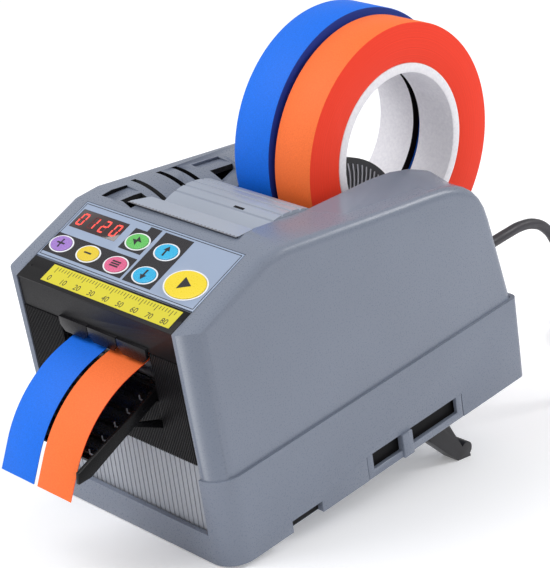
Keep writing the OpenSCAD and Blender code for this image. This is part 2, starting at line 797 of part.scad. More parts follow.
module moving_blade() {
    rail = 4.5;
    color([0.8, 0.81, 0.83]) stand() difference() {
        block([gate_x[0], blade_y, 70], [gate_x[1], blade_y + blade_t, edge_z + 4.8]);
        block([gate_x[0] + rail, -1, gate_low], [gate_x[1] - rail, 20, edge_z]);
        translate([pin_at[0], blade_y, pin_at[1]])
            cube([2*(pin_r + pin_play), 4*blade_t, 2*(pin_r + slack)], center = true);
    }
}

crank_y = [blade_y + blade_t + 2, blade_y + blade_t + 6];

module cutter_crank() {
    color([0.8, 0.68, 0.35]) stand() {
        post_y(crank_y[0], crank_y[1], crank_at, crank_r + 3.5);
        post_y(blade_y - 0.2, crank_y[0] + eps, pin_at, pin_r);
        post_y(crank_y[1] - eps, crank_y[1] + 6, crank_at, motor_shaft_r);
    }
}

bracket_y = [crank_y[1] + 1.3, crank_y[1] + 2.9];

module motor_bracket() {
    color(steel) stand() difference() {
        block([plate_x[0] + plate_t, bracket_y[0], 60], [plate_x[1], bracket_y[1], 92]);
        post_y(0, 60, crank_at, 5);
    }
}

module cutter_motor() {
    color([0.55, 0.56, 0.58]) stand() difference() {
        union() {
            post_y(bracket_y[1], bracket_y[1] + 34, crank_at, 12);
            post_y(bracket_y[0], bracket_y[1] + eps, crank_at, 4.9);
        }
        post_y(bracket_y[0] - 1, bracket_y[0] + 8, crank_at, motor_shaft_r + run_gap);
    }
}

// Rolls, their rollers and side guides
module support_roller(at) {
    rod(path_x - bay_hw + 3, path_x + bay_hw - 3, at, support_r);
    rod(bay_l - cheek, bay_r + cheek, at, roller_shaft_r);
}

module front_support_roller() { color([0.3, 0.3, 0.32]) stand() support_roller(front_roller); }
module rear_support_roller() { color([0.3, 0.3, 0.32]) stand() support_roller(rear_roller); }

guide_r = 32;
guide_at = rear_roller + [3.4, 15.6];
guide_t = 3;

// A round plate beside the rolls, clear of the rear roller
module side_guide(x0) {
    difference() {
        rod(x0, x0 + guide_t, guide_at, guide_r);
        rod(x0 - 1, x0 + guide_t + 1, rear_roller, support_r + slack);
    }
}

module left_side_guide() { color([0.35, 0.36, 0.38]) stand() side_guide(bay_l); }
module right_side_guide() {
    color([0.35, 0.36, 0.38]) stand() intersection() {
        side_guide(bay_r - guide_t);
        slab(bay_l, bay_w) polygon(outline(0));
    }
}

// A round plate with swept ribs that stands between the two rolls and keeps the tapes apart
separator_at = [roll_y - 29.9, roll_z - 51.1];
separator_r = 50;
separator_t = 0.8;
separator_rib = 0.5;
separator_low = 44;
stalk_y = [152, 168];

module tape_separator() {
    ribs = 40;
    rib_circle = 34;
    rim = 2.5;
    x0 = path_x - (separator_t + separator_rib)/2;
    color([0.28, 0.28, 0.30]) stand() {
        difference() {
            union() {
                rod(x0, x0 + separator_t, separator_at, separator_r);
                intersection() {
                    rod(x0, bay_r, separator_at, separator_r - rim);
                    translate([x0 + separator_t - eps, separator_at[0], separator_at[1]]) rotate([90, 0, 90])
                        for (i = [0:ribs - 1]) rotate(360*i/ribs) translate([separator_r/2, rib_circle, 0])
                            linear_extrude(separator_rib + eps) intersection() {
                                difference() {
                                    circle(r = rib_circle + 0.5);
                                    circle(r = rib_circle - 0.5);
                                }
                                translate([-6, -2*rib_circle]) square([34, rib_circle]);
                            }
                }
            }
            block([-big, -big, -big], [big, big, separator_low]);
            for (p = [front_roller, rear_roller]) rod(bay_l, bay_r, p, support_r + slack);
        }
        block([x0, stalk_y[0], floor_t], [x0 + separator_t, stalk_y[1], separator_low + eps]);
        block([path_x - 8, stalk_y[0], floor_t], [path_x + 8, stalk_y[1], floor_t + 2]);
    }
}

module ring(x0, at, outer, inner) {
    difference() {
        rod(x0, x0 + tape_w, at, outer);
        rod(x0 - 1, x0 + tape_w + 1, at, inner);
    }
}

blue_colour = [0.04, 0.37, 0.92];
orange_colour = [1.0, 0.45, 0.2];
core_colour = [0.93, 0.92, 0.95];

module blue_tape() { color(blue_colour) stand() ring(blue_x, blue_at, blue_r, core_out_r, $fn = 96); }
module orange_tape() {
    color(orange_colour) stand() ring(orange_x, orange_at, orange_r, core_out_r, $fn = 96);
}
module blue_core() { color(core_colour) stand() ring(blue_x, blue_at, core_out_r, core_r, $fn = 96); }
module orange_core() { color(core_colour) stand() ring(orange_x, orange_at, core_out_r, core_r, $fn = 96); }

function up(a) = [-sin(a), cos(a)];

// A cut strip, from the blades out over the tray
module strip(x0) {
    h = strip_t/2;
    steps = 20;
    function arc(k, side) = let(a = tape_a + k*bend_turn)
        strip_bend(a) + side*h*up(a);
    end_a = tape_a + bend_turn;
    start = [blade_y - cut_gap, tape_z(blade_y - cut_gap)];
    slab(x0, tape_w) polygon(concat(
        [start + [0, h]], [for (i = [0:steps]) arc(i/steps, 1)], [strip_end + h*up(end_a)],
        [strip_end - h*up(end_a)], [for (i = [steps:-1:0]) arc(i/steps, -1)], [start - [0, h]]));
}

module blue_strip() { color(blue_colour) stand() strip(blue_x); }
module orange_strip() { color(orange_colour) stand() strip(orange_x); }

// The tape still on a roll, from the blades back over the feed roller to just short of the roll
module web(x0, at, r) {
    h = strip_t/2;
    steps = 12;
    hub = [feed_y, feed_z];
    roll_r = r + slack + h;
    aim = atan2(at[1] - hub[1], at[0] - hub[0]) - asin((wrap_r + roll_r)/norm(at - hub));
    front = blade_y + blade_t + cut_gap;
    function wrap(k, side) = hub + (wrap_r + side*h)*up(tape_a + k*(aim - tape_a));
    slab(x0, tape_w) polygon(concat(
        [[front, tape_z(front) + h]], [for (i = [0:steps]) wrap(i/steps, 1)],
        [at - (roll_r - h)*up(aim), at - (roll_r + h)*up(aim)],
        [for (i = [steps:-1:0]) wrap(i/steps, -1)], [[front, tape_z(front) - h]]));
}

module blue_web() { color(blue_colour) stand() web(blue_x, blue_at, blue_r); }
module orange_web() { color(orange_colour) stand() web(orange_x, orange_at, orange_r); }

// Electrics on the base floor
module main_board() {
    color(board_green) stand() {
        block([-38, 26, floor_t + 6], [40, 76, floor_t + 7.6]);
        for (x = [-35, 37], y = [29, 73]) translate([x, y, floor_t]) cylinder(r = 2.5, h = 6 + eps);
        for (x = [-30, -8, 14]) block([x, 34, floor_t + 7.6 - eps], [x + 14, 50, floor_t + 12]);
    }
}

power_x = leg_x - leg_pin_hw - 5.6;

module power_unit() {
    color([0.2, 0.2, 0.22]) stand() block([-power_x + 6, 96, floor_t], [power_x, 150, floor_t + 26]);
}

// Supply cord: gland, hanging run, coil, tie and plug
module cord_gland() {
    length = 9;
    collar = 8;
    flange = 2.5;
    color(panel_black) stand() translate([cord_exit[0], gland_seat, cord_exit[1]]) rotate([-90, 0, 0])
        difference() {
            union() {
                translate([0, 0, -collar]) cylinder(r = gland_collar_r, h = collar + eps);
                cylinder(r = gland_r, h = flange);
                translate([0, 0, flange - eps]) cylinder(r1 = 5, r2 = cord_d/2 + 0.8, h = length - flange);
            }
            translate([0, 0, -collar - 1]) cylinder(r = cord_d/2 + run_gap, h = length + collar + 2);
        }
}

// Points of the free run in the standing frame, from inside the gland to the start of the coil
cord_route = [[50, 104, 107], [50, 112, 108.7], [50, 121, 110.5], [50, 130, 112.3], [50, 141, 113.9],
    [50, 152, 112.7], [50, 161, 108.3], [50, 168, 101.4], [50, 173.5, 92.5], [50, 177.5, 82], [50, 180.5, 70],
    [50, 183.5, 57], [50, 188, 44], [50, 194.5, 31.5], [50, 203.5, 20.5], [50, 215, 12], [50, 228, 6.6],
    [50, 242, 4.2], [50, 254, 3.75], [50, 266, 3.75], [50, 278, 3.75], [50, 290, 3.75]];
coil_out = 42;
coil_pitch = 6;
coil_turns = 3;
coil_last = 2.75;
coil_mid = [50 - coil_out, 296];
coil_low = 3.75;
coil_rise = 6;
coil_dip = 1.5;
rings_a_turn = 24;
coil_in = coil_out - coil_turns*coil_pitch;
lead_out = 6;

function ease(k) = k*k*(3 - 2*k);
function coil_radius(n) = n < coil_turns ? coil_out - coil_pitch*n
    : n < coil_turns + 0.5 ? coil_in - coil_dip*sin(360*(n - coil_turns))
    : coil_in + coil_pitch*(n - coil_turns - 0.5);
function coil_height(n) = n < coil_turns ? coil_low
    : n < coil_turns + 0.5 ? coil_low + coil_rise*ease(2*(n - coil_turns)) : coil_low + coil_rise;
function coil_point(n) = [coil_mid[0] + coil_radius(n)*cos(360*n), coil_mid[1] + coil_radius(n)*sin(360*n),
    coil_height(n)];
coil_total = coil_turns + 0.5 + coil_last;
coil_end = coil_point(coil_total);
coil_route = concat([coil_point(0) - [0, lead_out, 0]],
    [for (i = [0:coil_total*rings_a_turn]) coil_point(i/rings_a_turn)], [coil_end - [lead_out, 0, 0]]);
coil_clear = min([for (i = [0:len(coil_route) - 1], j = [i + 8:1:len(coil_route) - 1])
    norm(coil_route[i] - coil_route[j])]) - cord_d;
echo(least_gap_between_coil_turns = coil_clear);

function unit(v) = v/norm(v);
function heading(path, i) = unit(path[min(i + 1, len(path) - 1)] - path[max(i - 1, 0)]);

// A tube swept along a path, with rings squared to the given side direction
module tube(path, r, sides, across) {
    count = len(path);
    points = [for (i = [0:count - 1]) let(t = heading(path, i), b = unit(cross(t, across)), a = cross(b, t))
        for (k = [0:sides - 1]) path[i] + r*(cos(360*k/sides)*a + sin(360*k/sides)*b)];
    walls = [for (i = [0:count - 2], k = [0:sides - 1]) let(n = (k + 1)%sides, p = i*sides, q = p + sides)
        each [[p + k, p + n, q + k], [p + n, q + n, q + k]]];
    ends = [for (k = [1:sides - 2]) each [[0, k + 1, k], (count - 1)*sides*[1, 1, 1] + [0, k, k + 1]]];
    polyhedron(points, concat(walls, ends));
}

module supply_cord() {
    color([0.2, 0.19, 0.22]) tube(cord_route, cord_d/2, 8, [1, 0, 0]);
}

module cord_coil() {
    color([0.2, 0.19, 0.22]) tube(coil_route, cord_d/2, 6, [0, 0, 1]);
}

module cord_tie() {
    w = 8;
    t = 0.8;
    high = coil_low + coil_rise + cord_d/2 + 0.2;
    low_x = coil_mid[0] - coil_out - cord_d/2 - 0.4;
    high_x = coil_mid[0] - coil_in + cord_d/2 + coil_dip + 0.4;
    color(panel_black) translate([0, coil_mid[1] - w/2, 0]) difference() {
        block([low_x - t, 0, 0], [high_x + t, w, high + t]);
        block([low_x, -1, t], [high_x, w + 1, high]);
    }
}

module mains_plug() {
    length = 34;
    color(panel_black) translate(coil_end - [lead_out, 0, 0]) rotate([0, -90, 0]) {
        cylinder(r1 = 4.4, r2 = 6.5, h = 10);
        translate([-coil_low - coil_rise + 0.05, -11, 10 - eps]) cube([18, 22, length - 12]);
        for (y = [-6.35, 6.35]) translate([-4, y - 0.75, length - 2.1]) cube([7, 1.5, 16]);
    }
}

base_tub();
upper_casing();
ribbed_apron();
front_panel();
outlet_tray();
safety_flap();
roller_cover();
control_overlay();
display_window();
display_module();
control_board();
key_switches();
plus_button();
minus_button();
set_button();
mode_button();
up_button();
down_button();
start_button();
left_frame_plate();
right_frame_plate();
guide_plate();
feed_roller();
feed_shaft();
feed_gear();
feed_pinion();
feed_motor();
pressure_roller();
pressure_axle();
fixed_blade();
moving_blade();
cutter_crank();
cutter_motor();
motor_bracket();
front_support_roller();
rear_support_roller();
left_side_guide();
right_side_guide();
tape_separator();
blue_tape();
blue_core();
orange_tape();
orange_core();
blue_strip();
orange_strip();
blue_web();
orange_web();
left_leg();
right_leg();
leg_pins();
front_feet();
side_latches();
casing_screws();
main_board();
power_unit();
cord_gland();
supply_cord();
cord_coil();
cord_tie();
mains_plug();
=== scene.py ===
import json
import math
import bpy
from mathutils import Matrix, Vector


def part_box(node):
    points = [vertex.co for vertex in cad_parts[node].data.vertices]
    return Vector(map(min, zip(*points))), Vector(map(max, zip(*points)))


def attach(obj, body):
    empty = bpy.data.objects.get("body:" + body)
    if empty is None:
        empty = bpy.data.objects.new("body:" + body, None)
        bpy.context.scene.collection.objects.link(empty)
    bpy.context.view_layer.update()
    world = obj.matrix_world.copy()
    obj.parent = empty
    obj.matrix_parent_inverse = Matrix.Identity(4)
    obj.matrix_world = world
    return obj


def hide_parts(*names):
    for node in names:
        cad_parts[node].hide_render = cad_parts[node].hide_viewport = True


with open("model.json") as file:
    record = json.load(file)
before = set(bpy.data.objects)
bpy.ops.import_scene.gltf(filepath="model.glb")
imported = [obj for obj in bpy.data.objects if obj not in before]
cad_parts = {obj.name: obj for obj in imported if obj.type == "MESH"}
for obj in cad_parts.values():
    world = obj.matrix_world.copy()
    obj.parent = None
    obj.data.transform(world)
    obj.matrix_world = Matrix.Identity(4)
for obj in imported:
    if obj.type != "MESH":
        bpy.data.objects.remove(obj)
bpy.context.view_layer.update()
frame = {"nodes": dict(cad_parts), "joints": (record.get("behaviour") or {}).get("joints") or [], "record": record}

record = frame["record"]
bodyOf = {node: body for body, nodes in record["behaviour"]["bodies"].items() for node in nodes}
slotOf = {part["node"]: part["material_slot"] for part in record["subparts"]}
jointOf = {joint["name"]: joint for joint in frame["joints"]}
mm = 0.001
white = (1, 1, 1, 1)

# What the modelling steps share: angles in degrees, weld distances and the sides of a round piece
meshing = {"smooth": 32, "flat": 0.6, "weld": 1e-6, "spinWeld": 1e-5, "sides": 72}

# How the machine stands: drawn level in its own millimetres, then tipped forward on its legs
machine = {
    "tilt": math.radians(11.5),
    "drop": 0.8,
    "frontHeight": 120.3,
    "frontOffset": -1.5,
    "slope": math.radians(19.7),
    "coverPin": (71, 124),
    "ridge": (60.5, 138.2),
    "fall": (157, 123.2),
    "pathX": 4,
    "tapeWidth": 23.8,
    "rollGap": 2.4,
}
cosTilt, sinTilt = math.cos(machine["tilt"]), math.sin(machine["tilt"])
pinY, pinZ = machine["coverPin"]
midY = pinY * cosTilt - pinZ * sinTilt - jointOf["cover_hinge"]["pos_m"][1] / mm


def pick(piece):
    bpy.ops.object.select_all(action="DESELECT")
    piece.select_set(True)
    bpy.context.view_layer.objects.active = piece


def settle(piece):
    pick(piece)
    bpy.ops.object.transform_apply(location=True, rotation=True, scale=True)


def stand(piece):
    piece.scale = (mm, mm, mm)
    settle(piece)
    piece.rotation_euler = (machine["tilt"], 0, 0)
    piece.location = (0, -midY * mm, machine["drop"] * mm)
    settle(piece)


def layOnSlope(piece):
    settle(piece)
    piece.rotation_euler = (machine["slope"], 0, 0)
    piece.location = (0, machine["frontOffset"], machine["frontHeight"])
    settle(piece)
    stand(piece)


def standing(x, y, z):
    return Vector((x, y * cosTilt - z * sinTilt - midY, y * sinTilt + z * cosTilt + machine["drop"])) * mm


def level(place):
    y, z = place.y / mm + midY, place.z / mm - machine["drop"]
    return place.x / mm, y * cosTilt + z * sinTilt, z * cosTilt - y * sinTilt


def topHeight(y):
    (ridgeY, ridgeZ), (fallY, fallZ) = machine["ridge"], machine["fall"]
    return ridgeZ + (fallZ - ridgeZ) * (y - ridgeY) / (fallY - ridgeY)


def editMesh(piece):
    pick(piece)
    bpy.ops.object.mode_set(mode="EDIT")
    bpy.ops.mesh.select_all(action="SELECT")


def endEdit():
    bpy.ops.object.mode_set(mode="OBJECT")


def outward(piece):
    editMesh(piece)
    bpy.ops.mesh.normals_make_consistent(inside=False)
    endEdit()


def outlinePiece(name, points, depth):
    bpy.ops.object.select_all(action="DESELECT")
    bpy.ops.mesh.primitive_circle_add(vertices=len(points), radius=1, fill_type="NGON")
    piece = bpy.context.object
    piece.name = name
    for vertex, point in zip(piece.data.vertices, points):
        vertex.co = point
    editMesh(piece)
    bpy.ops.mesh.extrude_region_move(TRANSFORM_OT_translate={"value": depth})
    endEdit()
    outward(piece)
    return piece


def spunPiece(name, profile, steps):
    bpy.ops.object.select_all(action="DESELECT")
    bpy.ops.mesh.primitive_circle_add(vertices=len(profile), radius=1)
    piece = bpy.context.object
    piece.name = name
    for vertex, (along, radius) in zip(piece.data.vertices, profile):
        vertex.co = (along, 0, radius)
    editMesh(piece)
    bpy.ops.mesh.spin(steps=steps, dupli=False, angle=2 * math.pi, center=(0, 0, 0), axis=(1, 0, 0))
    bpy.ops.mesh.select_all(action="SELECT")
    bpy.ops.mesh.remove_doubles(threshold=meshing["spinWeld"])
    endEdit()
    outward(piece)
    return piece


# Round cap whose top rises in steps, each inset by a share of the radius
capShape = {"facing": 0.9, "shares": (0.12, 0.3, 0.3)}


def capPiece(name, radius, low, high, crown):
    bpy.ops.object.select_all(action="DESELECT")
    bpy.ops.mesh.primitive_cylinder_add(vertices=meshing["sides"], radius=radius, depth=high - low,
                                        location=(0, 0, (low + high) / 2))
    piece = bpy.context.object
    piece.name = name
    settle(piece)
    editMesh(piece)
    bpy.ops.mesh.select_all(action="DESELECT")
    endEdit()
    for face in piece.data.polygons:
        face.select = face.normal.z > capShape["facing"]
    bpy.ops.object.mode_set(mode="EDIT")
    for share in capShape["shares"]:
        bpy.ops.mesh.inset(thickness=radius * share, depth=0)
        bpy.ops.transform.translate(value=(0, 0, crown * share))
    endEdit()
    return piece


def roundEdges(piece, width, segments=2, limit=meshing["smooth"]):
    pick(piece)
    bevel = piece.modifiers.new("edgeRound", "BEVEL")
    bevel.width = width
    bevel.segments = segments
    bevel.limit_method = "ANGLE"
    bevel.angle_limit = math.radians(limit)
    bpy.ops.object.modifier_apply(modifier=bevel.name)
    bpy.ops.object.shade_smooth_by_angle(angle=math.radians(limit))


def joinAll(name, parts):
    bpy.ops.object.select_all(action="DESELECT")
    for part in parts:
        part.select_set(True)
    bpy.context.view_layer.objects.active = parts[0]
    bpy.ops.object.join()
    piece = bpy.context.object
    piece.name = name
    return piece


def dress(piece, material, body):
    piece.data.materials.clear()
    piece.data.materials.append(material)
    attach(piece, body)


def refine(node, name, material, width, limit=meshing["smooth"], segments=2):
    source = frame["nodes"][node]
    piece = bpy.data.objects.new(name, source.data.copy())
    bpy.context.scene.collection.objects.link(piece)
    editMesh(piece)
    bpy.ops.mesh.remove_doubles(threshold=meshing["weld"])
    bpy.ops.mesh.dissolve_limited(angle_limit=math.radians(meshing["flat"]))
    endEdit()
    roundEdges(piece, width * mm, segments, limit)
    dress(piece, material, bodyOf[node])
    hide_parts(node)
    return piece


# Finishes
def tone(red, green, blue):
    def straight(value):
        share = value / 255
        return share / 12.92 if share <= 0.04045 else ((share + 0.055) / 1.055) ** 2.4
    return (straight(red), straight(green), straight(blue), 1.0)


def shaded(colour, share):
    return tuple(min(1.0, channel * share) for channel in colour[:3]) + (1.0,)


def finish(name, colour, roughness, metallic=0.0, specular=0.5, coat=0.0):
    material = bpy.data.materials.new(name)
    material.use_nodes = True
    shader = material.node_tree.nodes["Principled BSDF"]
    shader.inputs["Base Color"].default_value = colour
    shader.inputs["Roughness"].default_value = roughness
    shader.inputs["Metallic"].default_value = metallic
    shader.inputs["Specular IOR Level"].default_value = specular
    shader.inputs["Coat Weight"].default_value = coat
    material.diffuse_color = colour
    return material


def nodeOf(material, kind, **values):
    node = material.node_tree.nodes.new(kind)
    for key, value in values.items():
        setattr(node, key, value)
    return node


def link(material, fromSocket, toSocket):
    material.node_tree.links.new(fromSocket, toSocket)


def objectCoords(material, location=(0, 0, 0), rotation=(0, 0, 0), scale=(1, 1, 1)):
    coords = nodeOf(material, "ShaderNodeTexCoord")
    mapping = nodeOf(material, "ShaderNodeMapping")
    mapping.inputs["Location"].default_value = location
    mapping.inputs["Rotation"].default_value = rotation
    mapping.inputs["Scale"].default_value = scale
    link(material, coords.outputs["Object"], mapping.inputs["Vector"])
    return mapping.outputs["Vector"]


def noiseOn(material, vector, scale, detail=2.0, roughness=0.5):
    noise = nodeOf(material, "ShaderNodeTexNoise")
    noise.inputs["Scale"].default_value = scale
    noise.inputs["Detail"].default_value = detail
    noise.inputs["Roughness"].default_value = roughness
    link(material, vector, noise.inputs["Vector"])
    return noise.outputs["Fac"]


def spread(material, value, low, high, fromLow=0.3, fromHigh=0.7):
    mapRange = nodeOf(material, "ShaderNodeMapRange")
    mapRange.inputs["From Min"].default_value = fromLow
    mapRange.inputs["From Max"].default_value = fromHigh
    mapRange.inputs["To Min"].default_value = low
    mapRange.inputs["To Max"].default_value = high
    link(material, value, mapRange.inputs["Value"])
    return mapRange.outputs["Result"]


def blendColour(material, factor, first, second):
    mix = nodeOf(material, "ShaderNodeMix", data_type="RGBA")
    mix.inputs["A"].default_value = first
    mix.inputs["B"].default_value = second
    link(material, factor, mix.inputs["Factor"])
    return mix.outputs["Result"]


def shaderOf(material):
    return material.node_tree.nodes["Principled BSDF"]


def bumpFrom(material, height, strength, distance):
    bump = nodeOf(material, "ShaderNodeBump")
    bump.inputs["Strength"].default_value = strength
    bump.inputs["Distance"].default_value = distance
    link(material, height, bump.inputs["Height"])
    link(material, bump.outputs["Normal"], shaderOf(material).inputs["Normal"])


# Moulded plastic: cloudy tone, fine grain
mouldLook = {"cloud": 14, "wear": 0.05, "depth": 0.0002}


def moulded(name, colour, roughness, grain=1400, strength=0.12, vary=0.05, specular=0.5, coat=0.0):
    material = finish(name, colour, roughness, specular=specular, coat=coat)
    vector = objectCoords(material)
    cloud = noiseOn(material, vector, mouldLook["cloud"], 3)
    toned = blendColour(material, spread(material, cloud, 0, 1), shaded(colour, 1 - vary),
                        shaded(colour, 1 + vary))
    link(material, toned, shaderOf(material).inputs["Base Color"])
    fine = noiseOn(material, vector, grain, 2)
    worn = spread(material, fine, roughness - mouldLook["wear"], roughness + mouldLook["wear"])
    link(material, worn, shaderOf(material).inputs["Roughness"])
    bumpFrom(material, fine, strength, mouldLook["depth"])
    return material


# Metal with lines brushed along x
brushLook = {"stretch": (30, 1200, 1200), "wear": (-0.08, 0.12), "tones": (0.85, 1.1), "bump": (0.1, 0.0001)}


def brushed(name, colour, roughness):
    material = finish(name, colour, roughness, metallic=1.0)
    lines = noiseOn(material, objectCoords(material, scale=brushLook["stretch"]), 1, 3)
    low, high = brushLook["wear"]
    worn = spread(material, lines, roughness + low, roughness + high)
    link(material, worn, shaderOf(material).inputs["Roughness"])
    dark, light = brushLook["tones"]
    toned = blendColour(material, lines, shaded(colour, dark), shaded(colour, light))
    link(material, toned, shaderOf(material).inputs["Base Color"])
    bumpFrom(material, lines, *brushLook["bump"])
    return material


casingColour = tone(122, 130, 146)
casingFinish = moulded("casingGrey", casingColour, 0.3, vary=0.035)
coverFinish = moulded("coverGrey", tone(158, 166, 180), 0.36, vary=0.04)
rampFinish = moulded("shoulderGloss", casingColour, 0.2, vary=0.03, strength=0.04)
apronFinish = moulded("apronGrey", tone(166, 170, 178), 0.45, vary=0.04)
panelFinish = moulded("panelBlack", tone(14, 13, 16), 0.46, vary=0.1, strength=0.06, specular=0.2)
visorFinish = moulded("visorBlack", tone(16, 15, 19), 0.3, vary=0.1, strength=0.03, specular=0.2)
trayFinish = moulded("trayBlack", tone(8, 8, 10), 0.3, vary=0.1, strength=0.05, specular=0.16)
# Painted highlight: light grey for the glints on the tray's rungs
paintedGlintFinish = moulded("paintedGlintGrey", tone(120, 122, 130), 0.2, vary=0.08, strength=0.04)
# Painted shade: black for the walls of slots and wells, the gap between the cores, and openings
paintedShadeFinish = moulded("paintedShadeBlack", tone(14, 14, 16), 0.6, vary=0.1, specular=0.2)
overlayFinish = moulded("overlayFilm", tone(150, 165, 190), 0.34, grain=2600, strength=0.05, vary=0.02)
printFinish = moulded("printBlack", tone(30, 28, 34), 0.3, grain=2600, strength=0.05, vary=0.05)
whiteFinish = moulded("ringWhite", tone(238, 240, 244), 0.35, vary=0.02)
labelFinish = moulded("labelYellow", tone(214, 203, 40), 0.38, grain=2600, strength=0.04, vary=0.025)
windowFinish = moulded("displayWindow", tone(38, 10, 14), 0.12, vary=0.08, strength=0.01, coat=0.6)
dimFinish = moulded("segmentDim", tone(84, 30, 34), 0.3, vary=0.05)
legFinish = moulded("legBlack", tone(34, 33, 37), 0.4, vary=0.08)
rubberFinish = moulded("rollerRubber", tone(56, 56, 60), 0.7, grain=900, strength=0.3, vary=0.12)
guideFinish = moulded("guideGrey", tone(122, 122, 128), 0.34, vary=0.08)
separatorFinish = moulded("separatorGrey", tone(40, 40, 44), 0.4, vary=0.08)
# Painted highlight: the separator's ribs, much lighter than its plate
ribHighlightFinish = moulded("separatorRib", tone(196, 196, 202), 0.34, vary=0.06)
nylonFinish = moulded("gearNylon", tone(228, 224, 210), 0.5, vary=0.04)
boardFinish = moulded("boardGreen", tone(36, 104, 62), 0.4, grain=600, vary=0.15)
steelFinish = brushed("plateSteel", (0.66, 0.67, 0.69, 1.0), 0.32)
brassFinish = brushed("turnedBrass", (0.78, 0.60, 0.28, 1.0), 0.3)
motorFinish = brushed("motorCan", (0.50, 0.51, 0.53, 1.0), 0.38)
keyFinish = {
    "plus": moulded("keyPurple", tone(156, 118, 196), 0.28, vary=0.04),
    "minus": moulded("keyYellow", tone(224, 196, 46), 0.3, vary=0.04),
    "set": moulded("keyPink", tone(216, 96, 138), 0.28, vary=0.04),
    "mode": moulded("keyGreen", tone(96, 188, 92), 0.28, vary=0.04),
    "up": moulded("keyCyan", tone(48, 178, 224), 0.28, vary=0.04),
    "down": moulded("keyCyanLow", tone(44, 174, 222), 0.28, vary=0.04),
    "start": moulded("keyStart", tone(238, 212, 40), 0.3, vary=0.04),
}


def litSegment():
    material = finish("segmentLit", tone(255, 84, 74), 0.3)
    glow = shaderOf(material)
    glow.inputs["Emission Color"].default_value = tone(255, 70, 60)
    glow.inputs["Emission Strength"].default_value = 0.55
    return material


# Crepe tape: fine wrinkles on the tread, and wound layers on the side faces, whose darker colour is painted shade
crepeLook = {
    "roughness": 0.62,
    "specular": 0.35,
    "layers": 1800,
    "wrinkles": 1500,
    "side": (0.6, 0.9),
    "treadTones": (0.9, 1.08),
    "sideTones": (0.9, 1.07),
    "bump": (0.35, 0.00025),
}


def crepe(name, colour, shadedSideColour, centre):
    material = finish(name, colour, crepeLook["roughness"], specular=crepeLook["specular"])
    vector = objectCoords(material, location=(0, -centre[1], -centre[2]))
    parts = nodeOf(material, "ShaderNodeSeparateXYZ")
    link(material, vector, parts.inputs["Vector"])
    flat = nodeOf(material, "ShaderNodeCombineXYZ")
    link(material, parts.outputs["Y"], flat.inputs["Y"])
    link(material, parts.outputs["Z"], flat.inputs["Z"])
    radius = nodeOf(material, "ShaderNodeVectorMath", operation="LENGTH")
    link(material, flat.outputs["Vector"], radius.inputs[0])
    layers = nodeOf(material, "ShaderNodeTexNoise", noise_dimensions="1D")
    layers.inputs["Scale"].default_value = crepeLook["layers"]
    layers.inputs["Detail"].default_value = 2
    link(material, radius.outputs["Value"], layers.inputs["W"])
    wrinkle = noiseOn(material, vector, crepeLook["wrinkles"], 2)
    geometry = nodeOf(material, "ShaderNodeNewGeometry")
    facing = nodeOf(material, "ShaderNodeSeparateXYZ")
    link(material, geometry.outputs["Normal"], facing.inputs["Vector"])
    sideways = nodeOf(material, "ShaderNodeMath", operation="ABSOLUTE")
    link(material, facing.outputs["X"], sideways.inputs[0])
    onSide = spread(material, sideways.outputs["Value"], 0, 1, *crepeLook["side"])
    dark, light = crepeLook["treadTones"]
    tread = blendColour(material, spread(material, wrinkle, 0, 1), shaded(colour, dark),
                        shaded(colour, light))
    dark, light = crepeLook["sideTones"]
    ring = blendColour(material, spread(material, layers.outputs["Fac"], 0, 1), shaded(shadedSideColour, dark),
                       shaded(shadedSideColour, light))
    both = nodeOf(material, "ShaderNodeMix", data_type="RGBA")
    link(material, onSide, both.inputs["Factor"])
    link(material, tread, both.inputs["A"])
    link(material, ring, both.inputs["B"])
    link(material, both.outputs["Result"], shaderOf(material).inputs["Base Color"])
    height = nodeOf(material, "ShaderNodeMix", data_type="FLOAT")
    link(material, onSide, height.inputs["Factor"])
    link(material, wrinkle, height.inputs["A"])
    link(material, layers.outputs["Fac"], height.inputs["B"])
    bumpFrom(material, height.outputs["Result"], *crepeLook["bump"])
    return material


def cardFinish(name, centre):
    material = finish(name, tone(244, 242, 247), 0.6)
    vector = objectCoords(material, location=(0, -centre[1], -centre[2]))
    fibre = noiseOn(material, vector, 700, 3)
    toned = blendColour(material, spread(material, fibre, 0, 1), tone(238, 236, 242), tone(250, 248, 252))
    link(material, toned, shaderOf(material).inputs["Base Color"])
    bumpFrom(material, fibre, 0.12, 0.0002)
    return material


def cordFinish():
    material = finish("cordSheath", tone(52, 50, 56), 0.46)
    vector = objectCoords(material)
    scuff = noiseOn(material, vector, 220, 3)
    link(material, spread(material, scuff, 0.38, 0.56), shaderOf(material).inputs["Roughness"])
    toned = blendColour(material, scuff, tone(44, 42, 48), tone(60, 58, 64))
    link(material, toned, shaderOf(material).inputs["Base Color"])
    bumpFrom(material, noiseOn(material, vector, 1600, 1), 0.08, 0.0001)
    return material


print("finishes ready")

# Camera of the photograph, for a frame of 550 by 568 pixels
photo = {
    "place": (0.6912, -0.6556, 0.4380),
    "turn": (70.57, -0.24, 46.04),
    "lens": 132.87,
    "shift": (0.00707, 0.00658),
    "sensor": 36,
    "clip": (0.05, 20),
}


def makeCamera():
    data = bpy.data.cameras.new("photoCamera")
    camera = bpy.data.objects.new("photoCamera", data)
    bpy.context.scene.collection.objects.link(camera)
    camera.location = photo["place"]
    camera.rotation_euler = [math.radians(angle) for angle in photo["turn"]]
    data.lens = photo["lens"]
    data.sensor_width = photo["sensor"]
    data.shift_x, data.shift_y = photo["shift"]
    data.clip_start, data.clip_end = photo["clip"]
    bpy.context.scene.camera = camera


makeCamera()
print("camera ready")
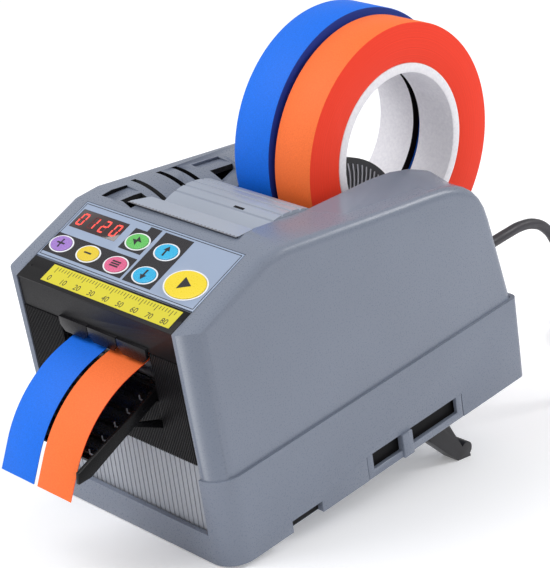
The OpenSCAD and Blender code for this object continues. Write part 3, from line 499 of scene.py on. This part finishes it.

# Supply cord: free run listed point by point, then the coil turn by turn
cordSize = {
    "diameter": 5.5,
    "route": [
        (50, 104, 107), (50, 112, 108.7), (50, 121, 110.5), (50, 130, 112.3), (50, 141, 113.9),
        (50, 152, 112.7), (50, 161, 108.3), (50, 168, 101.4), (50, 173.5, 92.5), (50, 177.5, 82),
        (50, 180.5, 70), (50, 183.5, 57), (50, 188, 44), (50, 194.5, 31.5), (50, 203.5, 20.5),
        (50, 215, 12), (50, 228, 6.6), (50, 242, 4.2),
        (50, 254, 3.75), (50, 266, 3.75), (50, 278, 3.75), (50, 290, 3.75)],
    "coilMid": (8, 296),
    "coilOut": 42,
    "coilPitch": 6,
    "coilTurns": 3,
    "coilLast": 2.75,
    "coilLow": 3.75,
    "coilRise": 6,
    "coilDip": 1.5,
    "ringsATurn": 24,
    "leadOut": 6,
    "length": 1.514,
    "aroundSteps": 5,
    "alongSteps": 4,
    "plugRound": 1.2,
    "plugBlade": 15.8,   # how far the two blades stand out
}


# The lower layer winds inwards, half a turn climbs, and the upper layer winds outwards
def coilPoint(turn):
    size = cordSize
    inner = size["coilOut"] - size["coilTurns"] * size["coilPitch"]
    past = turn - size["coilTurns"]
    if past < 0:
        radius, height = size["coilOut"] - size["coilPitch"] * turn, 0
    elif past < 0.5:
        radius = inner - size["coilDip"] * math.sin(2 * math.pi * past)
        height = (2 * past) ** 2 * (3 - 4 * past)
    else:
        radius, height = inner + size["coilPitch"] * (past - 0.5), 1
    angle = 2 * math.pi * turn
    return (size["coilMid"][0] + radius * math.cos(angle), size["coilMid"][1] + radius * math.sin(angle),
            size["coilLow"] + size["coilRise"] * height)


def makeCord():
    size = cordSize
    turns = size["coilTurns"] + 0.5 + size["coilLast"]
    steps = round(turns * size["ringsATurn"])
    coil = [coilPoint(step / size["ringsATurn"]) for step in range(steps + 1)]
    points = size["route"] + coil + [(coil[-1][0] - size["leadOut"], coil[-1][1], coil[-1][2])]
    curve = bpy.data.curves.new("supplyCord", "CURVE")
    curve.dimensions = "3D"
    curve.bevel_depth = size["diameter"] / 2 * mm
    curve.bevel_resolution = size["aroundSteps"]
    curve.resolution_u = size["alongSteps"]
    curve.use_fill_caps = True
    spline = curve.splines.new("BEZIER")
    spline.bezier_points.add(len(points) - 1)
    for knot, point in zip(spline.bezier_points, points):
        knot.co = Vector(point) * mm
        knot.handle_left_type = knot.handle_right_type = "AUTO"
    cord = bpy.data.objects.new("supplyCord", curve)
    bpy.context.scene.collection.objects.link(cord)
    cord.data.materials.append(cordFinish())
    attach(cord, bodyOf["supply_cord"])
    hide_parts("supply_cord", "cord_coil")
    return cord


def makePlug():
    plug = refine("mains_plug", "mainsPlug", panelFinish, cordSize["plugRound"])
    plug.data.materials.append(brassFinish)
    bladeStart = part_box("mains_plug")[0][0] + cordSize["plugBlade"] * mm
    for face in plug.data.polygons:
        if face.center.x < bladeStart:
            face.material_index = 1
    return plug


cord = makeCord()
plug = makePlug()
tie = refine("cord_tie", "cordTie", panelFinish, 0.3)
gland = refine("cord_gland", "cordGland", legFinish, 0.3)
print("cord ready")

# Casing shells: the crown of the right shoulder shines, and the walls of the slots and wells of the left one are
# painted black as painted shade
crown = {"from": (84, 130), "x": (37.2, 59.5), "facing": 0.5}
shoulder = {
    "x": (-57.5, -30.6),
    "y": (52.5, 131.5),
    "middle": -55.2,
    "radius": 42,
    "skin": 1.0,
    "depth": 14,
    "facing": 0.6,
}


def onCrown(face):
    inner, outer = crown["x"]
    behind = face.center.y > standing(0, *crown["from"]).y
    return behind and face.normal.z > crown["facing"] and inner * mm < face.center.x < outer * mm


def inShoulder(face):
    x, y, z = level(face.center)
    inPlan = shoulder["x"][0] < x < shoulder["x"][1] and shoulder["y"][0] < y < shoulder["y"][1]
    if not inPlan or abs(face.normal.z) >= shoulder["facing"]:
        return False
    fallAway = shoulder["radius"] - math.sqrt(shoulder["radius"] ** 2 - (x - shoulder["middle"]) ** 2)
    return shoulder["skin"] < topHeight(y) - fallAway - z < shoulder["depth"]


def makeCasing():
    casing = refine("upper_casing", "upperCasing", casingFinish, 0.5)
    casing.data.materials.append(rampFinish)
    casing.data.materials.append(paintedShadeFinish)
    for face in casing.data.polygons:
        if onCrown(face):
            face.material_index = 1
        # painted shade: the walls of the left shoulder's slots and wells
        if inShoulder(face):
            face.material_index = 2


# Visor: its three fingers hang below the plate and shine a little more
visor = {"fingerTop": (0, 107.3), "fingerFront": (0.1, 103), "fingerFoot": (0.6, 104.6)}


def makeVisor():
    flap = refine("safety_flap", "safetyFlap", panelFinish, 0.3)
    flap.data.materials.append(visorFinish)
    top = standing(0, *visor["fingerTop"]).z
    front = standing(0, *visor["fingerFront"]).y
    foot = standing(0, *visor["fingerFoot"]).z
    for face in flap.data.polygons:
        heights = [flap.data.vertices[corner].co.z for corner in face.vertices]
        if max(heights) < top and (face.center.y < front or min(heights) < foot):
            face.material_index = 1


makeCasing()
refine("base_tub", "baseTub", casingFinish, 0.95, segments=3)
apron = frame["nodes"]["ribbed_apron"]   # its grooves are sharp, so the solid stays
apron.data.materials.clear()
apron.data.materials.append(apronFinish)
refine("front_panel", "frontPanel", panelFinish, 0.12)
refine("outlet_tray", "outletTray", trayFinish, 0.35)
makeVisor()
refine("roller_cover", "rollerCover", coverFinish, 0.3, 24)
refine("side_latches", "sideLatches", casingFinish, 0.4)
refine("left_leg", "leftLeg", legFinish, 0.6)
refine("right_leg", "rightLeg", legFinish, 0.6)
print("shells ready")

# Rolls of tape
rollSize = {
    "steps": 180,
    "edge": 0.7,
    "coreEdge": 0.4,
    "coreGap": 0.02,
    "coreStep": 0.9,
    "coreInner": 38.2,
    "coreOuter": 42.9,
    "orange": 62.7,
    "blue": 64.3,
    "darkReach": 5,
    "darkFacing": 0.5,
    "stripEdge": 0.05,
}
cornerShare = 0.3   # where the middle of a rounded corner lies, as a share of its radius


def rollAxis(colour):
    return Vector(jointOf[colour + "_roll_spin"]["pos_m"])


def ringProfile(x0, x1, inner, outer, edge):
    corners = [(x0, inner, 1, 1), (x1, inner, -1, 1), (x1, outer, -1, -1), (x0, outer, 1, -1)]
    profile = []
    for index, (x, radius, dx, dr) in enumerate(corners):
        middle = (x + dx * edge * cornerShare, radius + dr * edge * cornerShare)
        ends = [(x + dx * edge, radius), middle, (x, radius + dr * edge)]
        profile += ends if index % 2 else ends[::-1]
    return profile


def makeRoll(colour, x0, outer, tapeMaterial, cardMaterial):
    axis = rollAxis(colour)
    x1 = x0 + machine["tapeWidth"]
    tapeProfile = ringProfile(x0, x1, rollSize["coreOuter"], outer, rollSize["edge"])
    tapeRing = spunPiece(colour + "Tape", tapeProfile, rollSize["steps"])
    coreStart = x0 + (rollSize["coreStep"] if colour == "orange" else 0)
    coreEnd = x1 - (rollSize["coreStep"] if colour == "blue" else 0)
    coreOuter = rollSize["coreOuter"] - rollSize["coreGap"]
    coreProfile = ringProfile(coreStart, coreEnd, rollSize["coreInner"], coreOuter, rollSize["coreEdge"])
    coreRing = spunPiece(colour + "Core", coreProfile, rollSize["steps"])
    for ring, node, material in ((tapeRing, "_tape", tapeMaterial), (coreRing, "_core", cardMaterial)):
        ring.scale = (mm, mm, mm)
        ring.location = (0, axis.y, axis.z)
        settle(ring)
        bpy.ops.object.shade_smooth_by_angle(angle=math.radians(meshing["smooth"]))
        dress(ring, material, bodyOf[colour + node])
        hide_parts(colour + node)
    coreRing.data.materials.append(paintedShadeFinish)   # painted shade: the ends that face each other are painted black
    for face in coreRing.data.polygons:
        nearMiddle = abs(face.center.x - machine["pathX"] * mm) < rollSize["darkReach"] * mm
        if nearMiddle and abs(face.normal.x) > rollSize["darkFacing"]:
            face.material_index = 1


# The second colour of each tape is the darker colour of its side faces: painted shade
blueTape = crepe("blueCrepe", tone(4, 110, 232), tone(10, 52, 150), rollAxis("blue"))
orangeTape = crepe("orangeCrepe", tone(255, 116, 52), tone(255, 60, 30), rollAxis("orange"))
orangeX = machine["pathX"] + machine["rollGap"] / 2
blueX = machine["pathX"] - machine["rollGap"] / 2 - machine["tapeWidth"]
makeRoll("blue", blueX, rollSize["blue"], blueTape, cardFinish("blueCard", rollAxis("blue")))
makeRoll("orange", orangeX, rollSize["orange"], orangeTape, cardFinish("orangeCard", rollAxis("orange")))
refine("blue_strip", "blueStrip", blueTape, rollSize["stripEdge"])
refine("orange_strip", "orangeStrip", orangeTape, rollSize["stripEdge"])
refine("blue_web", "blueWeb", blueTape, rollSize["stripEdge"])
refine("orange_web", "orangeWeb", orangeTape, rollSize["stripEdge"])
print("tape ready")

# Control panel: film, printed fields, rings, caps, symbols and the display
panel = {
    "overlay": (-54.5, 14.6, 54.5, 51),
    "line": 0.35,
    "inset": 0.9,
    "print": 0.06,
    "fieldLow": (-54, 17.5, 2.5, 30),
    "fieldMode": [(-14, 32.7), (1.5, 32.7), (1.5, 49), (-6.2, 49), (-6.2, 45.8), (-14, 45.8)],
    "fieldArrows": (4.2, 17.3, 23.4, 48.7),
    "ringRoom": 0.15,
    "ringWidth": 0.95,
    "ringHeight": 0.25,
    "ringSunk": 0.02,
    "ringEdge": 0.12,
    "oval": 0.68,
    "capHigh": 0.9,
    "capLow": -3.7,
    "capRound": 0.25,
    "crown": 0.35,
    "markSunk": 0.1,
    "markRise": 0.06,
    "smooth": 40,
}
keys = {
    "plus": (-46, 24.1, 6.6), "minus": (-26.1, 23.8, 6.6), "set": (-6, 23.4, 6.6), "mode": (-6, 38.9, 6.6),
    "up": (14.2, 38.7, 6.6), "down": (14.1, 23.4, 6.6), "start": (39.3, 25.9, 11.8),
}


def flatPiece(name, points, low, high):
    return outlinePiece(name, [(x, s, low) for x, s in points], (0, 0, high - low))


def rectangle(x0, s0, x1, s1):
    return [(x0, s0), (x1, s0), (x1, s1), (x0, s1)]


def printed(name, points, material, body="machine"):
    piece = flatPiece(name, points, 0, panel["print"])
    layOnSlope(piece)
    dress(piece, material, body)


def makeOverlayLine():
    width, inset = panel["line"], panel["inset"]
    x0, s0, x1, s1 = panel["overlay"]
    x0, s0, x1, s1 = x0 + inset, s0 + inset, x1 - inset, s1 - inset
    sides = [(x0, s0, x1, s0 + width), (x0, s1 - width, x1, s1), (x0, s0 + width, x0 + width, s1 - width),
             (x1 - width, s0 + width, x1, s1 - width)]
    lines = [flatPiece("overlayLine", rectangle(*side), 0, panel["print"]) for side in sides]
    piece = joinAll("overlayLine", lines)
    layOnSlope(piece)
    dress(piece, printFinish, "machine")


refine("control_overlay", "controlOverlay", overlayFinish, 0.1)
refine("display_window", "displayWindow", windowFinish, 0.25)
makeOverlayLine()
printed("keyFieldLow", rectangle(*panel["fieldLow"]), printFinish)
printed("keyFieldMode", panel["fieldMode"], printFinish)
printed("keyFieldArrows", rectangle(*panel["fieldArrows"]), printFinish)


# Outlines of the symbol on each key, from the key's middle
def strokes(key):
    if key == "plus":
        return [rectangle(-2.6, -0.45, 2.6, 0.45), rectangle(-0.45, 0.45, 0.45, 2.6),
                rectangle(-0.45, -2.6, 0.45, -0.45)]
    if key == "minus":
        return [rectangle(-2.4, -0.45, 2.4, 0.45)]
    if key == "set":
        return [rectangle(-2.8, -1.7, 2.8, -0.9), rectangle(-2.8, -0.4, 2.8, 0.4),
                rectangle(-2.8, 0.9, 2.8, 1.7)]
    if key == "mode":
        return [[(-3.2, 0.4), (-0.6, 0.4), (-0.6, 2.6), (3.2, -0.2), (0.6, -0.2), (0.6, -2.6)][::-1]]
    if key == "start":
        return [[(-2.6, -3.6), (4, 0), (-2.6, 3.6)]]
    way = 1 if key == "up" else -1
    return [[(-0.55, -2.8 * way), (0.55, -2.8 * way), (0.55, 0.4 * way), (2, 0.4 * way), (0, 3 * way),
             (-2, 0.4 * way), (-0.55, 0.4 * way)]]


def makeKey(key):
    x, s, radius = keys[key]
    body, node = key + "_key", key + "_button"
    rim = panel["capHigh"] - panel["capRound"]
    cap = capPiece(key + "Cap", radius, panel["capLow"], rim, panel["crown"])
    cap.scale = (1, panel["oval"], 1)
    cap.location = (x, s, 0)
    layOnSlope(cap)
    roundEdges(cap, panel["capRound"] * mm, 3, panel["smooth"])
    dress(cap, keyFinish[key], body)
    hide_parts(node)
    top = rim + panel["crown"] * sum(capShape["shares"])
    low, high = top - panel["markSunk"], top + panel["markRise"]
    marks = joinAll(key + "Mark", [flatPiece(key + "Mark", outline, low, high) for outline in strokes(key)])
    marks.location = (x, s, 0)
    layOnSlope(marks)
    dress(marks, printFinish, body)
    inner = radius + panel["ringRoom"]
    outer = inner + panel["ringWidth"]
    profile = ringProfile(-panel["ringSunk"], panel["ringHeight"], inner, outer, panel["ringEdge"])
    ring = spunPiece(key + "Ring", profile, meshing["sides"])
    ring.rotation_euler = (0, -math.pi / 2, 0)
    settle(ring)
    ring.scale = (1, panel["oval"], 1)
    ring.location = (x, s, 0)
    layOnSlope(ring)
    bpy.ops.object.shade_smooth_by_angle(angle=math.radians(panel["smooth"]))
    dress(ring, whiteFinish, "machine")


for key in keys:
    makeKey(key)

# Four digits of seven segments: x and s from the digit's middle, and whether the stroke is upright
segments = {
    "a": (0, 3.4, False), "b": (1.7, 1.7, True), "c": (1.7, -1.7, True), "d": (0, -3.4, False),
    "e": (-1.7, -1.7, True), "f": (-1.7, 1.7, True), "g": (0, 0, False),
}
digitStrokes = {"0": "abcdef", "1": "bc", "2": "abged"}
display = {
    "shown": "0120",
    "firstX": -47.6,
    "stepX": 8,
    "midS": 40.8,
    "half": 1.5,
    "width": 0.45,
    "lean": 0.12,
    "level": -0.1,
    "thick": 0.05,
}


def makeDigits():
    low, high = display["level"], display["level"] + display["thick"]
    lit, dim = [], []
    for place, digit in enumerate(display["shown"]):
        midX = display["firstX"] + place * display["stepX"]
        for letter, (dx, ds, upright) in segments.items():
            half = (display["width"], display["half"]) if upright else (display["half"], display["width"])
            x, s = midX + dx + display["lean"] * ds, display["midS"] + ds
            outline = rectangle(x - half[0], s - half[1], x + half[0], s + half[1])
            group = lit if letter in digitStrokes[digit] else dim
            group.append(flatPiece("segment", outline, low, high))
    for name, group, material in (("digitsLit", lit, litSegment()), ("digitsDim", dim, dimFinish)):
        piece = joinAll(name, group)
        layOnSlope(piece)
        dress(piece, material, "machine")


makeDigits()
print("control panel ready")

# Label on the safety flap: a yellow strip with a plain length scale
label = {
    "yellow": (-39, 2.4, 50.3, 12.6),
    "tickStart": -35,
    "tickStep": 2,
    "ticks": 42,
    "group": 5,
    "longTick": 3.4,
    "shortTick": 2.0,
    "halfTick": 0.16,
    "tickMargin": 0.9,
    "tickHigh": 0.04,
    "numberPlace": 3.5,
    "numberSize": 4.4,
    "numberHigh": 0.02,
}


def makeLabel():
    printed("labelStrip", rectangle(*label["yellow"]), labelFinish, body="flap")
    top = label["yellow"][3] - label["tickMargin"]
    marks = []
    for tick in range(label["ticks"]):
        x = label["tickStart"] + tick * label["tickStep"]
        height = label["shortTick"] if tick % label["group"] else label["longTick"]
        outline = rectangle(x - label["halfTick"], top - height, x + label["halfTick"], top)
        marks.append(flatPiece("tick", outline, panel["print"], panel["print"] + label["tickHigh"]))
    scale = joinAll("labelScale", marks)
    layOnSlope(scale)
    dress(scale, printFinish, "flap")


def makeNumbers():
    numbers = []
    for step in range(0, label["ticks"], label["group"]):
        x = label["tickStart"] + step * label["tickStep"]
        bpy.ops.object.select_all(action="DESELECT")
        bpy.ops.object.text_add(location=(x, label["numberPlace"], panel["print"]))
        number = bpy.context.object
        number.data.body = str(step * label["tickStep"])
        number.data.size = label["numberSize"]
        number.data.align_x = "CENTER"
        number.data.extrude = label["numberHigh"]
        bpy.ops.object.convert(target="MESH")
        numbers.append(bpy.context.object)
    piece = joinAll("labelNumbers", numbers)
    layOnSlope(piece)
    dress(piece, printFinish, "flap")


makeLabel()
makeNumbers()
print("label ready")

# Trim lies on a surface that gives its height over y, in the machine's own millimetres
def trimPiece(name, points, low, high, material, body, surface):
    piece = outlinePiece(name, [(x, y, surface(y) + low) for x, y in points], (0, 0, high - low))
    stand(piece)
    dress(piece, material, body)


# Toothed band on top of the casing, and the shade between its teeth
band = {
    "teeth": 31,
    "pitch": 2.4,
    "startX": -33.5,
    "tip": 54.4,
    "root": 55.7,
    "rear": 66.3,
    "lean": 0.75,
    "draw": (3, 2),
    "sunk": 0.1,
    "high": 0.16,
    "shadeHigh": 0.08,
    "shadeMargin": (0.2, 0.4),
}


def makeToothedBand():
    startX, pitch = band["startX"], band["pitch"]
    tip, root, rear = band["tip"], band["root"], band["rear"]
    endX = startX + band["teeth"] * pitch
    outline = []
    for tooth in range(band["teeth"]):
        outline += [(startX + tooth * pitch, root), (startX + (tooth + band["lean"]) * pitch, tip)]
    drawLeft, drawRight = band["draw"]
    outline += [(endX, root), (endX - drawRight, rear), (startX + drawLeft, rear)]
    trimPiece("toothedBand", outline, -band["sunk"], band["high"], coverFinish, "machine",
              topHeight)
    before, behind = band["shadeMargin"]
    shade = rectangle(startX, tip - before, endX, root + behind)
    trimPiece("bandShade", shade, -band["sunk"], band["shadeHigh"], guideFinish, "machine",
              topHeight)


# Small slot in the crowned roller cover, drawn as a black patch: painted shade of the slot
lid = {
    "start": 68.5,
    "span": 36,
    "edge": 130,
    "crown": 4.6,
    "rise": 0.9,
    "slot": (9.8, 81.2, 16.5, 82.7),
    "slotLevels": (-0.3, 0.06),
}


def lidHeight(y):
    share = (y - lid["start"]) / lid["span"]
    return lid["edge"] + lid["crown"] * (1 - (2 * share - 1) ** 2) + lid["rise"]


def makeLidSlot():
    low, high = lid["slotLevels"]
    trimPiece("lidSlot", rectangle(*lid["slot"]), low, high, paintedShadeFinish, bodyOf["roller_cover"],
              lidHeight)


# Black plates behind the openings of the left shoulder and of the base: painted shade in the openings
voids = {
    "shoulder": (-57, 54.5, -34, 131),
    "depth": 12,
    "thick": 0.5,
    "base": [(37.5, 57.5, 6), (89, 158, 13)],
    "baseX": 64.4,
    "baseLow": 0.6,
    "baseMargin": (1, 2),
}


def makeVoids():
    depth, thick = voids["depth"], voids["thick"]
    trimPiece("shoulderVoid", rectangle(*voids["shoulder"]), -depth, thick - depth, paintedShadeFinish, "machine",
              topHeight)
    low, (along, above) = voids["baseLow"], voids["baseMargin"]
    for side, place in ((-1, "left"), (1, "right")):
        x = side * voids["baseX"]
        for index, (y0, y1, high) in enumerate(voids["base"]):
            corners = rectangle(y0 - along, low, y1 + along, high + above)
            outline = [(x, y, z) for y, z in corners]
            piece = outlinePiece(place + "BaseVoid" + str(index), outline, (-thick * side, 0, 0))
            stand(piece)
            dress(piece, paintedShadeFinish, "machine")


# Plate between the rolls, with swept ribs on the side that shows through the near core; the ribs are painted much
# lighter than the plate as a painted highlight
separator = {
    "middle": (145.8, 78.3),
    "face": 4.15,
    "rise": 0.5,
    "ribs": 84,
    "arc": 34,
    "arcAside": 24.99,
    "sunk": 0.05,
    "halfWidth": 0.3,
    "fromTo": (-118, -51),
    "arcSteps": 9,
    "low": 46,
    "rearRoller": (178.1, 60.4),
    "rollerRoom": 9,
    "plateRound": 0.05,
}


def ribOutline(turn):
    size = separator
    first, last = (math.radians(angle) for angle in size["fromTo"])
    sides = []
    for way in (1, -1):
        radius = size["arc"] + way * size["halfWidth"]
        angles = [first + (last - first) * step / size["arcSteps"] for step in range(size["arcSteps"] + 1)]
        side = [(size["arcAside"] + radius * math.cos(angle), size["arc"] + radius * math.sin(angle))
                for angle in angles]
        sides += side[::way]
    cosTurn, sinTurn = math.cos(turn), math.sin(turn)
    x = size["face"] - size["sunk"]
    plateY, plateZ = size["middle"]
    return [(x, plateY + u * cosTurn - v * sinTurn, plateZ + u * sinTurn + v * cosTurn) for u, v in sides]


def makeSeparator():
    size = separator
    refine("tape_separator", "tapeSeparator", separatorFinish, size["plateRound"])
    rollerY, rollerZ = size["rearRoller"]
    ribs = []
    for index in range(size["ribs"]):
        outline = ribOutline(2 * math.pi * index / size["ribs"])
        clear = min(math.hypot(y - rollerY, z - rollerZ) for x, y, z in outline) > size["rollerRoom"]
        if clear and min(z for x, y, z in outline) > size["low"]:
            ribs.append(outlinePiece("separatorRibs", outline, (size["rise"], 0, 0)))
    piece = joinAll("separatorRibs", ribs)
    stand(piece)
    dress(piece, ribHighlightFinish, "machine")


# Small light grey brackets at the right ends of the tray's rungs: painted highlights of the rungs' edges
rungGlints = {
    "top": (6, 88.5),
    "tip": (-50, 68.5),
    "rungs": 6,
    "first": 0.3,
    "before": 2,
    "below": 2.4,
    "x": (29.7, 33),
    "high": 2.4,
    "thick": 0.5,
}


def makeRungGlints():
    size = rungGlints
    (topY, topZ), (tipY, tipZ) = size["top"], size["tip"]
    x0, x1 = size["x"]
    thick, high = size["thick"], size["high"]
    parts = []
    for rung in range(1, size["rungs"]):
        share = (rung + size["first"]) / (size["rungs"] + 1)
        y = topY + share * (tipY - topY) - size["before"]
        z = topZ + share * (tipZ - topZ) - size["below"]
        bracket = [(x0, y, z), (x1, y, z), (x1, y, z + thick), (x0 + thick, y, z + thick),
                   (x0 + thick, y, z + high), (x0, y, z + high)]
        parts.append(outlinePiece("rungGlintBrackets", bracket, (0, -thick, 0)))
    piece = joinAll("rungGlintBrackets", parts)
    stand(piece)
    dress(piece, paintedGlintFinish, bodyOf["outlet_tray"])


makeRungGlints()
makeVoids()
makeSeparator()
makeToothedBand()
makeLidSlot()
print("trim ready")

# Finishes of the pieces that keep their solids
keptFinish = {
    "steel": steelFinish,
    "rubber": rubberFinish,
    "brass": brassFinish,
    "motor_can": motorFinish,
    "guide_grey": guideFinish,
    "board_green": boardFinish,
    "white_plastic": nylonFinish,
    "panel_black": legFinish,
}
for node, solid in frame["nodes"].items():
    if slotOf[node] in keptFinish:
        solid.data.materials.clear()
        solid.data.materials.append(keptFinish[slotOf[node]])
print("kept solids dressed")

# Floor, lamps and world: what the camera sees of the floor and the world is paler than what lights the part
studio = {
    "floorSize": 8,
    "floor": tone(250, 250, 252),
    "floorGlow": 0.22,
    "world": 0.6,
    "lamps": [("keyLamp", (-0.7, -1.1, 1.5), 1.2, 20), ("sideLamp", (1.7, -0.2, 0.9), 1.2, 2.5),
              ("backLamp", (0.76, 1.2, 1.25), 0.6, 9)],
    "aim": (0, 0, 0.1),
}


def makeFloor():
    bpy.ops.object.select_all(action="DESELECT")
    bpy.ops.mesh.primitive_plane_add(size=studio["floorSize"], location=(0, 0, 0))
    floor = bpy.context.object
    floor.name = "studioFloor"
    material = finish("studioFloor", studio["floor"], 0.7, specular=0.1)
    seen = nodeOf(material, "ShaderNodeLightPath")
    both = nodeOf(material, "ShaderNodeMath", operation="MAXIMUM")
    link(material, seen.outputs["Is Camera Ray"], both.inputs[0])
    link(material, seen.outputs["Is Glossy Ray"], both.inputs[1])
    glow = spread(material, both.outputs["Value"], 0, studio["floorGlow"], 0, 1)
    shaderOf(material).inputs["Emission Color"].default_value = white
    link(material, glow, shaderOf(material).inputs["Emission Strength"])
    floor.data.materials.append(material)


def makeLamps():
    for name, place, size, power in studio["lamps"]:
        data = bpy.data.lights.new(name, "AREA")
        data.size = size
        data.energy = power
        lamp = bpy.data.objects.new(name, data)
        bpy.context.scene.collection.objects.link(lamp)
        lamp.location = place
        lamp.rotation_euler = (Vector(studio["aim"]) - Vector(place)).to_track_quat("-Z", "Y").to_euler()


def makeWorld():
    world = bpy.data.worlds.new("studioWorld")
    bpy.context.scene.world = world
    world.use_nodes = True
    background = world.node_tree.nodes["Background"]
    background.inputs["Color"].default_value = white
    seen = nodeOf(world, "ShaderNodeLightPath")
    shown = spread(world, seen.outputs["Is Camera Ray"], studio["world"], 1, 0, 1)
    link(world, shown, background.inputs["Strength"])


makeFloor()
makeLamps()
makeWorld()
bpy.context.scene.view_settings.view_transform = "Standard"
print("studio ready")
